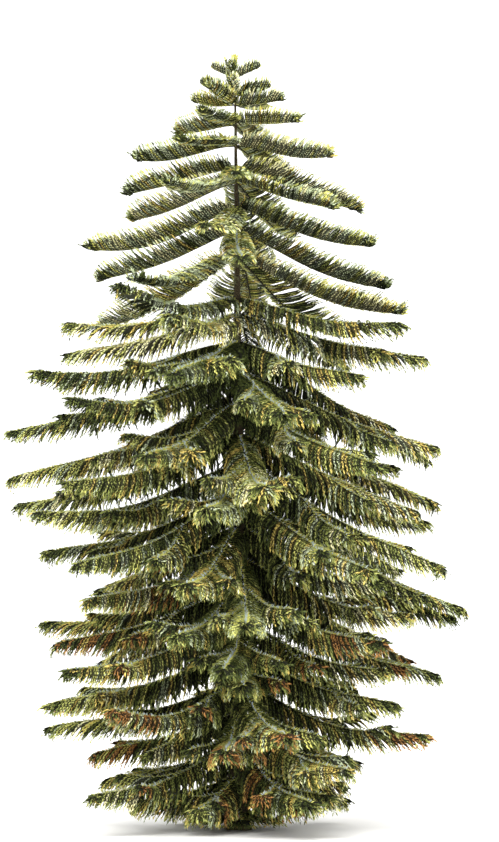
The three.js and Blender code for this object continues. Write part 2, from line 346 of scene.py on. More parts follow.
@dataclass(frozen=True)
class Crown:
    """The rule by which the boughs grow, with the sizes that the solids grow by.

    Each profile gives a value against the share of the tree's height.
    Azimuths, turns and spreads are in degrees.
    """

    stem: Stem = Stem()

    # Where the whorls stand and how they turn
    low_whorls: int = 16
    lowest: float = 0.27
    low_spacing: float = 0.4
    high_levels: tuple[float, ...] = (
        6.63, 6.84, 7.39, 7.74, 8.03, 8.36, 8.55, 8.84, 9.11, 9.37, 9.52, 9.74,
    )
    boughs_per_low_whorl: int = 6
    boughs_per_high_whorl: int = 4
    root_share: float = 0.75
    low_azimuth: float = 17
    high_azimuth: float = -14
    whorl_turn_jitter: float = 15
    bough_turn_jitter: float = 12

    # How far boughs reach
    reach: Profile = (
        (0.033, 0.47), (0.07, 1.29), (0.11, 2.01), (0.26, 2.5), (0.42, 2.95), (0.54, 2.98), (0.625, 2.8),
        (0.66, 2.36), (0.74, 2.2), (0.77, 1.93), (0.8, 1.93), (0.836, 1.58), (0.855, 1.52), (0.884, 1.3),
        (0.911, 0.96), (0.937, 0.62), (0.952, 0.44), (0.974, 0.32), (0.99, 0.15),
    )
    low_reach_jitter: float = 0.16
    high_reach_jitter: float = 0.06
    most_reach: float = 2.93
    short_bough_chance: float = 0.2
    short_bough_share: float = 0.72

    # How boughs fall, wave and bend
    launch_slope: Profile = (
        (0.033, -0.42), (0.14, -0.41), (0.5, -0.34), (0.625, -0.21), (0.663, -0.19), (0.69, -0.18),
        (0.74, -0.45), (0.8, -0.37), (0.85, -0.15), (0.9, 0.04), (0.95, 0.05), (0.985, 0.35),
    )
    middle_slope: Profile = (
        (0.033, -0.4), (0.14, -0.28), (0.5, -0.44), (0.625, -0.37), (0.663, -0.23), (0.69, -0.2),
        (0.74, -0.41), (0.8, -0.37), (0.85, -0.33), (0.88, -0.24), (0.91, -0.09), (0.95, 0.22), (0.985, 0.5),
    )
    tip_slope: Profile = (
        (0.033, -0.3), (0.14, -0.17), (0.5, -0.21), (0.625, -0.26), (0.663, -0.07), (0.74, -0.02),
        (0.8, -0.03), (0.86, -0.05), (0.9, 0.08), (0.95, 0.5), (0.985, 0.8),
    )
    low_slope_jitter: float = 0.075
    high_slope_jitter: float = 0.04
    tip_slope_jitter: float = 0.24
    slope_wave: Profile = ((0, 0.1), (0.12, 0.16), (0.7, 0.14), (0.85, 0.07), (0.95, 0.02))
    least_wave_share: float = 0.35
    side_fall: float = 0.06
    front_lift: float = 0.1
    sway: float = 0.1
    ground_clearance: float = 0.09
    rib_at_trunk: float = 0.011
    rib_least: float = 0.007

    # Side boughs
    fork_min_reach: float = 2.0
    fork_chance: float = 0.15
    fork_at: float = 0.46
    fork_spread: float = 30
    fork_share: float = 0.4

    # Finer twigs between the low boughs
    twig_min_reach: float = 1.1
    twig_places: tuple[float, ...] = (0.3, 0.52)
    twig_place_jitter: float = 0.07
    twig_spread: float = 31
    twig_spread_jitter: float = 7
    twig_share: float = 0.6
    twig_lift: float = 0.16
    twig_fullness: float = 0.74

    # Draws
    low_seed: float = 255.5
    high_seed: float = 21.7

    DRAW_STEPS: ClassVar[tuple[float, float, float]] = (12.9898, 78.233, 37.719)
    DRAW_SCALE: ClassVar[float] = 43758.5453

    def is_high(self, whorl: int) -> bool:
        """Tell whether a whorl is one of those that the trunk shows between."""
        return whorl > self.low_whorls

    def chance(self, whorl: int, bough: int, use: Draw) -> float:
        """Draw a repeatable number from 0 to 1.

        Args:
            whorl: The whorl's number.
            bough: The bough's number in it.
            use: What the number is for.

        Returns:
            The number.
        """
        seed = self.high_seed if self.is_high(whorl) else self.low_seed
        whorl_step, bough_step, use_step = self.DRAW_STEPS
        angle = whorl * whorl_step + bough * bough_step + use.value * use_step + seed
        wave = math.sin(angle) * self.DRAW_SCALE
        return wave - math.floor(wave)

    def jitter(self, whorl: int, bough: int, use: Draw) -> float:
        """Draw the same number from -1 to 1."""
        return 2 * self.chance(whorl, bough, use) - 1

    def side(self, whorl: int, bough: int, use: Draw) -> int:
        """Draw the left side, 1, or the right, -1."""
        return -1 if self.chance(whorl, bough, use) < 0.5 else 1

    def levels(self) -> list[float]:
        """Give every whorl's height above the ground, from the lowest up."""
        low = [self.lowest + self.low_spacing * rank for rank in range(self.low_whorls)]
        return [*low, *self.high_levels]

    def grow(self) -> list[Bough]:
        """Grow every bough, side bough and twig, from the lowest whorl up."""
        return [bough for whorl, z in enumerate(self.levels(), 1) for bough in self._whorl(whorl, z)]

    def _whorl(self, whorl: int, z: float) -> list[Bough]:
        """Grow the boughs of one whorl.

        Args:
            whorl: Its number, from 1 at the foot.
            z: Its height above the ground.

        Returns:
            Its boughs, each with its side bough and twigs after it.
        """
        is_high = self.is_high(whorl)
        count = self.boughs_per_high_whorl if is_high else self.boughs_per_low_whorl
        in_line = self.high_azimuth if is_high else self.low_azimuth + 180 / count * (whorl % 2)
        turn = in_line + self.whorl_turn_jitter * self.jitter(whorl, 0, Draw.WHORL_TURN)
        boughs: list[Bough] = []
        for number in range(count):
            degrees = turn + 360 * number / count
            degrees += self.bough_turn_jitter * self.jitter(whorl, number, Draw.TURN)
            bough = self._bough(whorl, number, z, math.radians(degrees))
            boughs.append(bough)
            forks = self.chance(whorl, number, Draw.FORK) < self.fork_chance
            if forks and self._reach(whorl, number, z) > self.fork_min_reach:
                boughs.append(self._side_bough(bough, whorl, number))
            if not is_high and bough.reach > self.twig_min_reach:
                boughs += self._twigs(bough, whorl, number)
        return boughs

    def _reach(self, whorl: int, number: int, z: float) -> float:
        """Find how far one bough reaches from the trunk's centreline.

        Args:
            whorl: Its whorl's number.
            number: Its own number in the whorl.
            z: The height that it starts at.

        Returns:
            The reach.
        """
        whole = float(along(self.reach, z / self.stem.height))
        drawn = self.jitter(whorl, number, Draw.REACH)
        if self.is_high(whorl):
            return whole * (1 + self.high_reach_jitter * drawn)
        is_short = self.chance(whorl, number, Draw.SHORT) < self.short_bough_chance
        share = self.short_bough_share if is_short else 1.0
        return min(self.most_reach, whole * share * (1 + self.low_reach_jitter * drawn))

    def _bough(self, whorl: int, number: int, z: float, azimuth: float) -> Bough:
        """Grow one bough from the trunk.

        Args:
            whorl: Its whorl's number.
            number: Its own number in the whorl.
            z: The height that it starts at.
            azimuth: The way it runs, in radians.

        Returns:
            The bough.
        """
        share = z / self.stem.height
        reach = self._reach(whorl, number, z)
        lean = self.side_fall * math.cos(azimuth) + self.front_lift * math.sin(azimuth)
        profiles = (self.launch_slope, self.middle_slope, self.tip_slope)
        launch, middle, tip = (float(along(profile, share)) - lean for profile in profiles)
        slope_jitter = self.high_slope_jitter if self.is_high(whorl) else self.low_slope_jitter
        middle += slope_jitter * self.jitter(whorl, number, Draw.SLOPE)
        tip += self.tip_slope_jitter * self.jitter(whorl, number, Draw.TIP)
        wave_draw = self.chance(whorl, number, Draw.WAVE)
        wave_share = self.least_wave_share + (1 - self.least_wave_share) * wave_draw
        root = self.root_share * float(self.stem.radius(z))
        out = np.array((math.cos(azimuth), math.sin(azimuth), 0.0))
        return Bough(
            origin=self.stem.centre(z) + root * out,
            azimuth=azimuth,
            reach=reach - root,
            slopes=self._eased((launch, middle, tip), (z - self.ground_clearance) / reach),
            sway=self.sway * self.jitter(whorl, number, Draw.SWAY),
            wave=float(along(self.slope_wave, share)) * wave_share,
            height=share,
            rib=max(self.rib_least, self.rib_at_trunk * reach),
        )

    @staticmethod
    def _eased(slopes: Slopes, most_fall: float) -> Slopes:
        """Ease the slopes of a bough that would meet the ground.

        Args:
            slopes: Its slopes at its launch, middle and tip.
            most_fall: How far it may fall, as a share of its reach.

        Returns:
            The slopes that it takes.
        """
        launch, middle, tip = slopes
        fall = -(launch + 4 * middle + tip) / 6
        ease = most_fall / fall if fall > most_fall else 1.0
        return launch * ease, middle * ease, tip * ease

    def _side_bough(self, bough: Bough, whorl: int, number: int) -> Bough:
        """Grow the shorter frond that leaves a bough part of the way out.

        Args:
            bough: The bough.
            whorl: Its whorl's number.
            number: Its own number in the whorl.

        Returns:
            The side bough.
        """
        side = self.side(whorl, number, Draw.FORK_SIDE)
        return Bough(
            origin=bough.point(self.fork_at),
            azimuth=bough.azimuth + side * math.radians(self.fork_spread),
            reach=bough.reach * self.fork_share,
            slopes=(bough.slope(self.fork_at), bough.slope((self.fork_at + 1) / 2), bough.slope(1)),
            sway=0,
            wave=0,
            height=bough.height,
            rib=bough.rib * self.fork_share,
        )

    def _twigs(self, bough: Bough, whorl: int, number: int) -> list[Bough]:
        """Grow the finer twigs that leave a low bough to either side in turn, within its reach.

        Args:
            bough: The bough.
            whorl: Its whorl's number.
            number: Its own number in the whorl.

        Returns:
            The twigs.
        """
        side = self.side(whorl, number, Draw.TWIG_SIDE)
        twigs: list[Bough] = []
        for rank, place in enumerate(self.twig_places):
            key = number + self.boughs_per_low_whorl * (rank + 1)
            at = place + self.twig_place_jitter * self.jitter(whorl, key, Draw.TWIG_PLACE)
            spread = self.twig_spread + self.twig_spread_jitter * self.jitter(whorl, key, Draw.TWIG_SPREAD)
            lift = self.twig_lift * self.jitter(whorl, key, Draw.TWIG_LIFT)
            launch, middle, tip = (bough.slope(part) + lift for part in (at, (at + 1) / 2, 1.0))
            reach = bough.reach * self.twig_share * (1 - at)
            origin = bough.point(at)
            twig = Bough(
                origin=origin,
                azimuth=bough.azimuth + side * (-1) ** rank * math.radians(spread),
                reach=reach,
                slopes=self._eased((launch, middle, tip), (float(origin[2]) - self.ground_clearance) / reach),
                sway=0,
                wave=bough.wave,
                height=bough.height,
                rib=bough.rib * self.twig_share * (1 - at),
                fullness=self.twig_fullness,
                start=at,
            )
            twigs.append(twig)
        return twigs


class Tint(Enum):
    """The tints that sprays of needles come in."""

    SHADE = "shade"
    MOSS = "moss"
    OLIVE = "olive"
    OCHRE = "ochre"
    SAGE = "sage"
    LIME = "lime"
    STRAW = "straw"
    RUST = "rust"
    # A painted highlight: pale blue sky light along the tops of the ridges.
    FROST = "frost"


@dataclass(frozen=True)
class NeedleFinish:
    """A waxy needle's plain colour, and how often sprays of it are dealt out.

    Attributes:
        colour: The display colour of the needles.
        dealt: How often it is dealt against height, next to the other tints. By default it is never dealt.
        warmth: How much oftener a warm bough deals it than a cool one, from -1 to 1.
        core_shade_share: How light the branchlet's core is next to its needles: painted shade in the gaps
            between them.
        core_roughness: How dull that core is.
        roughness: How dull the wax is.
        specular: How strongly the wax shines.
    """

    colour: Colour
    dealt: Profile = ((0, 0), (1, 0))
    warmth: float = 0.0
    core_shade_share: float = 0.28
    core_roughness: float = 0.8
    roughness: float = 0.6
    specular: float = 0.15

    def core(self) -> "NeedleFinish":
        """Give the finish of the core under the needles: its tint darkened as painted shade."""
        red, green, blue = (round(self.core_shade_share * value) for value in self.colour)
        return replace(self, colour=(red, green, blue), roughness=self.core_roughness)

    def material(self, name: str) -> bpy.types.Material:
        """Make the finish.

        Args:
            name: The material's name.

        Returns:
            The material.
        """
        material, shader = new_material(name)
        shader.inputs["Base Color"].default_value = linear(self.colour)
        shader.inputs["Roughness"].default_value = self.roughness
        shader.inputs["Specular IOR Level"].default_value = self.specular
        return material


NEEDLE_FINISHES: dict[Tint, NeedleFinish] = {
    # SHADE is painted shade: a dark tint dealt most at the foot and just below the high whorls.
    Tint.SHADE: NeedleFinish(
        (82, 92, 46), ((0, 0.21), (0.3, 0.14), (0.5, 0.14), (0.62, 0.21), (0.75, 0.04), (1, 0.02))
    ),
    Tint.MOSS: NeedleFinish((138, 146, 78), ((0, 0.24), (0.6, 0.2), (0.75, 0.08), (1, 0.05))),
    Tint.OLIVE: NeedleFinish((180, 183, 104), ((0, 0.25), (0.6, 0.23), (0.75, 0.15), (1, 0.15))),
    Tint.OCHRE: NeedleFinish((210, 188, 102), ((0, 0.26), (0.6, 0.15), (0.75, 0.07), (1, 0.05)), warmth=0.95),
    Tint.SAGE: NeedleFinish((196, 206, 168), ((0, 0.11), (0.6, 0.2), (0.75, 0.4), (1, 0.42)), warmth=-0.8),
    Tint.LIME: NeedleFinish((220, 218, 122), ((0, 0.14), (0.6, 0.14), (0.75, 0.2), (1, 0.22))),
    Tint.STRAW: NeedleFinish((240, 236, 184), ((0, 0.06), (0.6, 0.09), (0.75, 0.28), (1, 0.3))),
    Tint.RUST: NeedleFinish((168, 122, 68)),
    # Painted highlight of sky light on the ridges' tops.
    Tint.FROST: NeedleFinish((208, 221, 224)),
}
TINT_NUMBERS: dict[Tint, int] = {tint: number for number, tint in enumerate(NEEDLE_FINISHES)}


class Nodes:
    """A node tree that is built node by node."""

    def __init__(self, name: str, kind: str) -> None:
        """Start a tree with a name, of one of the tree types."""
        self.tree = bpy.data.node_groups.new(name, kind)

    def sockets(self, way: str, entries: Entries) -> dict[str, str]:
        """Add the tree's own inputs or outputs.

        Args:
            way: INPUT or OUTPUT.
            entries: The name and socket type of each.

        Returns:
            The identifier of each by its name.
        """
        make = self.tree.interface.new_socket
        return {name: make(name, in_out=way, socket_type=kind).identifier for name, kind in entries}

    def add(self, kind: str, links: dict[str | int, Any], **settings: Any) -> bpy.types.Node:
        """Add a node with its settings, values and links.

        Args:
            kind: The node's type name.
            links: A socket to link from, or a plain value, for each input's name or number.
            **settings: The node's own properties.

        Returns:
            The node.
        """
        node = self.tree.nodes.new(kind)
        for name, value in settings.items():
            setattr(node, name, value)
        for key, value in links.items():
            if isinstance(value, bpy.types.NodeSocket):
                self.tree.links.new(value, node.inputs[key])
            else:
                node.inputs[key].default_value = value
        return node

    def calc(self, kind: str, first: Any, second: Any = 0.0) -> bpy.types.NodeSocket:
        """Add a sum of values or sockets, such as MULTIPLY, and give its result."""
        return self.add("ShaderNodeMath", {0: first, 1: second}, operation=kind).outputs["Value"]


class BarkWeather(Nodes):
    """The weathered bark effect as one shader node group: flakes, level cracks and lichen."""

    ENTRIES: Entries = (
        ("Dark", "NodeSocketColor"), ("Pale", "NodeSocketColor"), ("Lichen", "NodeSocketColor"),
        ("Flake Scale", "NodeSocketFloat"), ("Lichen Share", "NodeSocketFloat"),
    )
    EXITS: Entries = (
        ("Color", "NodeSocketColor"), ("Roughness", "NodeSocketFloat"), ("Height", "NodeSocketFloat"),
    )
    FLATTENED = (1.0, 1.0, 2.6)
    CRACK_SPAN: Span = (0.0, 0.16)
    TONE_SPAN: Span = (0.08, 0.66)
    GRAIN = {"Scale": 46.0, "Detail": 6.0, "Roughness": 0.62}
    PATCHES = {"Scale": 5.0, "Detail": 5.0, "Roughness": 0.7}
    DULLNESS = {"To Min": 0.78, "To Max": 0.98}

    def __init__(self) -> None:
        """Build the group once."""
        super().__init__("bark_weather", "ShaderNodeTree")
        self.sockets("INPUT", self.ENTRIES)
        self.sockets("OUTPUT", self.EXITS)
        self._wire()

    def _wire(self) -> None:
        """Lay the group's nodes and links."""
        source = self.tree.nodes.new("NodeGroupInput").outputs
        place = self.add("ShaderNodeTexCoord", {}).outputs["Object"]
        level = self.add("ShaderNodeMapping", {"Vector": place, "Scale": self.FLATTENED}).outputs["Vector"]
        links = {"Vector": level, "Scale": source["Flake Scale"]}
        flakes = self.add("ShaderNodeTexVoronoi", links, feature="DISTANCE_TO_EDGE").outputs["Distance"]
        grain = self.add("ShaderNodeTexNoise", {"Vector": level, **self.GRAIN}).outputs["Fac"]
        tone = self.calc("MULTIPLY", self._spread(flakes, self.CRACK_SPAN), grain)
        bark = self._mix(self._spread(tone, self.TONE_SPAN), source["Dark"], source["Pale"])
        patches = self.add("ShaderNodeTexNoise", {"Vector": place, **self.PATCHES}).outputs["Fac"]
        mask = self.calc("GREATER_THAN", patches, self.calc("SUBTRACT", 1.0, source["Lichen Share"]))
        colour = self._mix(self.calc("MULTIPLY", mask, grain), bark, source["Lichen"])
        dull = self.add("ShaderNodeMapRange", {"Value": grain, **self.DULLNESS}).outputs["Result"]
        self.add("NodeGroupOutput", {"Color": colour, "Roughness": dull, "Height": tone})

    def _spread(self, value: bpy.types.NodeSocket, span: Span) -> bpy.types.NodeSocket:
        """Spread a span of values out to 0 and 1."""
        links = {"Value": value, "From Min": span[0], "From Max": span[1]}
        return self.add("ShaderNodeMapRange", links).outputs["Result"]

    def _mix(self, share: Any, first: Any, second: Any) -> bpy.types.NodeSocket:
        """Mix two colours by a share of the second."""
        links = {"Factor": share, **dict(zip(MIX_COLOURS, (first, second)))}
        return self.add("ShaderNodeMix", links, data_type="RGBA").outputs[MIXED_COLOUR]


@dataclass(frozen=True)
class BarkFinish:
    """Weathered bark on a trunk or a bough.

    Attributes:
        dark: The display colour down in the cracks.
        pale: The display colour on the flakes.
        lichen: The display colour of the lichen.
        flake_scale: How many flakes there are to a metre.
        lichen_share: How much of the bark the lichen covers.
        relief: The depth of the shaded relief, in metres.
        specular: How strongly the bark shines.
    """

    dark: Colour = (26, 22, 15)
    pale: Colour = (88, 76, 54)
    lichen: Colour = (108, 112, 78)
    flake_scale: float = 30.0
    lichen_share: float = 0.42
    relief: float = 0.004
    specular: float = 0.2

    def material(self, name: str, weather: BarkWeather) -> bpy.types.Material:
        """Make the finish.

        Args:
            name: The material's name.
            weather: The shared bark effect.

        Returns:
            The material.
        """
        material, shader = new_material(name)
        nodes, links = material.node_tree.nodes, material.node_tree.links
        shader.inputs["Specular IOR Level"].default_value = self.specular
        group = nodes.new("ShaderNodeGroup")
        group.node_tree = weather.tree
        for entry, colour in (("Dark", self.dark), ("Pale", self.pale), ("Lichen", self.lichen)):
            group.inputs[entry].default_value = linear(colour)
        group.inputs["Flake Scale"].default_value = self.flake_scale
        group.inputs["Lichen Share"].default_value = self.lichen_share
        bump = nodes.new("ShaderNodeBump")
        bump.inputs["Distance"].default_value = self.relief
        links.new(group.outputs["Color"], shader.inputs["Base Color"])
        links.new(group.outputs["Roughness"], shader.inputs["Roughness"])
        links.new(group.outputs["Height"], bump.inputs["Height"])
        links.new(bump.outputs["Normal"], shader.inputs["Normal"])
        return material


TRUNK_FINISH = BarkFinish()
BOUGH_FINISH = BarkFinish(dark=(20, 20, 12), pale=(56, 54, 32), flake_scale=70, relief=0.002)


@dataclass(frozen=True)
class Trunk:
    """The trunk's mesh: the solid's taper and flare with collars at the whorls and the bark's relief.

    Attributes:
        stem: The trunk's driving sizes.
        levels: The whorls' heights.
        sides: The points in each ring.
        rings: The rings from the flat cut to the bud.
        collar_share: How far the bark swells at a whorl, as a share of the radius.
        collar_height: How far that reaches up and down, as a share of the radius.
        scar_spacing: The height between the level leaf-scar rings.
        scar_share: The depth of the scars, as a share of the radius.
        scar_power: How narrow the scars are.
        scar_on_flakes: How much of a scar's depth changes with the flakes that it crosses.
        flake_share: The depth of the flakes, as a share of the radius.
        flake_turn: How fine the flakes are round the trunk. About six times as many go round it.
        flake_rise: How many flakes there are to a metre of height.
        fine_share: How deep the finer flakes are next to the coarse ones.
        fine_scale: How many times finer they are.
    """

    stem: Stem
    levels: list[float]
    sides: int = 32
    rings: int = 560
    collar_share: float = 0.2
    collar_height: float = 0.8
    scar_spacing: float = 0.031
    scar_share: float = 0.035
    scar_power: int = 8
    scar_on_flakes: float = 0.4
    flake_share: float = 0.09
    flake_turn: float = 2.2
    flake_rise: float = 9
    fine_share: float = 0.5
    fine_scale: float = 2.3

    def build(self) -> bpy.types.Object:
        """Build the mesh.

        Returns:
            The trunk as an object.
        """
        top = self.stem.height - self.stem.bud_length
        angles = 2 * np.pi * np.arange(self.sides) / self.sides
        points = []
        for z in np.linspace(0, top, self.rings):
            radii = self._radii(z, angles)
            ring = np.stack([np.cos(angles) * radii, np.sin(angles) * radii, np.zeros(self.sides)], -1)
            points.append(ring + self.stem.centre(z))
        points.append(self.stem.centre(self.stem.height)[None])
        mesh = mesh_of("trunk_bark", np.concatenate(points), loft_faces(self.rings, self.sides))
        return new_object("trunk_bark", mesh)

    def _radii(self, z: float, angles: np.ndarray) -> np.ndarray:
        """Find the radii of one ring with collar, scars and flakes.

        Args:
            z: The ring's height.
            angles: The angles of its points.

        Returns:
            The radius at each point.
        """
        bare = float(self.stem.radius(z))
        collar_height = self.collar_height * bare
        collar = sum(math.exp(-(((z - level) / collar_height) ** 2)) for level in self.levels)
        scar = math.sin(2 * math.pi * z / self.scar_spacing) ** self.scar_power
        fade = min(1.0, z / self.scar_spacing)
        flakes = np.array([self._flake(angle, z) for angle in angles])
        scar_depth = self.scar_share * scar * (1 - self.scar_on_flakes + self.scar_on_flakes * flakes)
        relief = self.flake_share * flakes - scar_depth
        return bare * (1 + self.collar_share * min(1.0, collar) + fade * relief) + self.stem.flare(z, angles)

    def _flake(self, angle: float, z: float) -> float:
        """Find the bark flakes' height at one point.

        Args:
            angle: Its angle round the trunk.
            z: Its height above the ground.

        Returns:
            The flakes' height, from about -1 to 1.
        """
        across = self.flake_turn * math.cos(angle), self.flake_turn * math.sin(angle)
        place = Vector((*across, self.flake_rise * z))
        return noise.noise(place) + self.fine_share * noise.noise(self.fine_scale * place)

    def dress(self, piece: bpy.types.Object, material: bpy.types.Material) -> None:
        """Give the trunk its finish and its place in the frame.

        Args:
            piece: The trunk.
            material: Its finish.
        """
        piece.data.materials.append(material)
        piece.data.shade_smooth()
        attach(piece, BODY)
        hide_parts(TRUNK_NODE)


@dataclass(frozen=True)
class BoughWood:
    """The boughs' wood: tapering limbs along every bough's axis, knotted where branchlets leave.

    Attributes:
        boughs: The boughs.
        sides: The points in each ring.
        ring_spacing: The length between rings.
        least_rings: The fewest rings that a limb has.
        last_ring: The share of the reach where the last ring stands, before the pointed tip.
        root_share: The radius at the root, as a share of the solid's rib.
        tip_radius: The radius at the tip.
        taper: How the radius falls away, as a power of what is left of the reach.
        flare_length: The length over which the root swells into its collar.
        flare_share: How much the root swells.
        knot_share: The height of the knots, as a share of the radius.
        knot_turn: How far the knots' rise and fall goes on from ring to ring, in radians.
    """

    boughs: list[Bough]
    sides: int = 6
    ring_spacing: float = 0.12
    least_rings: int = 5
    last_ring: float = 0.985
    root_share: float = 0.62
    tip_radius: float = 0.0035
    taper: float = 0.9
    flare_length: float = 0.05
    flare_share: float = 0.5
    knot_share: float = 0.13
    knot_turn: float = 2.4

    def build(self) -> bpy.types.Object:
        """Build the mesh of all the limbs.

        Returns:
            The limbs as one object.
        """
        points: list[np.ndarray] = []
        faces: list[tuple[int, ...]] = []
        first = 0
        for bough in self.boughs:
            limb = self._limb(bough)
            rings = (len(limb) - 1) // self.sides
            faces += loft_faces(rings, self.sides, first)
            points.append(limb)
            first += len(limb)
        return new_object("bough_wood", mesh_of("bough_wood", np.concatenate(points), faces))

    def _limb(self, bough: Bough) -> np.ndarray:
        """Find the points of one limb.

        Args:
            bough: Its bough.

        Returns:
            The points of its rings, then its tip.
        """
        rings = max(self.least_rings, round(bough.reach / self.ring_spacing))
        t = np.linspace(0, self.last_ring, rings)
        _, left, up = bough.axes(t)
        bare = self.tip_radius + (self.root_share * bough.rib - self.tip_radius) * (1 - t) ** self.taper
        swell = 1 + self.flare_share * np.exp(-t * bough.reach / self.flare_length)
        knots = 1 + self.knot_share * np.sin(np.arange(rings) * self.knot_turn)
        radius = (bare * swell * knots)[:, None, None]
        angles = 2 * np.pi * np.arange(self.sides) / self.sides
        across = left[:, None] * np.cos(angles)[None, :, None] + up[:, None] * np.sin(angles)[None, :, None]
        rings_of_points = bough.point(t)[:, None] + radius * across
        return np.concatenate([rings_of_points.reshape(-1, 3), bough.point(1.0)[None]])

    def dress(self, piece: bpy.types.Object, material: bpy.types.Material) -> None:
        """Give the limbs their finish and their place in the frame.

        Args:
            piece: The limbs.
            material: Their finish.
        """
        piece.data.materials.append(material)
        piece.data.shade_smooth()
        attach(piece, BODY)


class NodeGraph(Nodes):
    """A geometry node tree that is run on an object."""

    def __init__(self, name: str, entries: Entries) -> None:
        """Start a tree.

        Args:
            name: The tree's name.
            entries: The name and socket type of each input.
        """
        super().__init__(name, "GeometryNodeTree")
        self.keys = self.sockets("INPUT", entries)
        self.sockets("OUTPUT", (("Geometry", "NodeSocketGeometry"),))
        self.source = self.tree.nodes.new("NodeGroupInput").outputs

    def turn(self, rotation: Any, axis: tuple[float, ...], angle: Any) -> bpy.types.NodeSocket:
        """Turn a rotation about one of its own axes.

        Args:
            rotation: The rotation to turn.
            axis: The axis, in the turned frame.
            angle: The angle, as a value or a socket.

        Returns:
            The new rotation.
        """
        by = self.add("FunctionNodeAxisAngleToRotation", {"Axis": axis, "Angle": angle}).outputs["Rotation"]
        links = {"Rotation": rotation, "Rotate By": by}
        return self.add("FunctionNodeRotateRotation", links, rotation_space="LOCAL").outputs["Rotation"]

    def close(self, instances: bpy.types.NodeSocket) -> None:
        """End the tree: make its instances real and give them the finish.

        Args:
            instances: The instances.
        """
        real = self.add("GeometryNodeRealizeInstances", {"Geometry": instances}).outputs["Geometry"]
        done = self.add("GeometryNodeSetMaterial", {"Geometry": real, "Material": self.source["Finish"]})
        self.add("NodeGroupOutput", {"Geometry": done.outputs["Geometry"]})

    def run(self, host: bpy.types.Object, name: str, values: dict[str, Any]) -> bpy.types.Mesh:
        """Run the tree on an object and take the result as a plain mesh.

        Args:
            host: The object whose geometry the tree reads.
            name: The new mesh's name.
            values: The value of each named input.

        Returns:
            The mesh.
        """
        modifier = host.modifiers.new(self.tree.name, "NODES")
        modifier.node_group = self.tree
        for entry, value in values.items():
            modifier[self.keys[entry]] = value
        depsgraph = bpy.context.evaluated_depsgraph_get()
        mesh = bpy.data.meshes.new_from_object(host.evaluated_get(depsgraph), depsgraph=depsgraph)
        host.modifiers.remove(modifier)
        mesh.name = name
        for mark in [layer.name for layer in mesh.attributes if layer.name in SEAT_MARKS]:
            mesh.attributes.remove(mesh.attributes[mark])
        return mesh


@dataclass(frozen=True)
class Habit:
    """What tells branchlets that rise from those that hang.

    Attributes:
        bows: How far the middle stands off the straight line, as shares of the length.
        spacing: The length between needles along the core.
        outline: The core's share of its full size along the length: a ring at each place, then a point.
        turn: One needle in so many lies on the face that shows less.
        roll: The turn about the core, in radians, that puts the others on the face that shows more.
    """

    bows: Span
    spacing: float
    outline: Profile
    turn: int
    roll: float


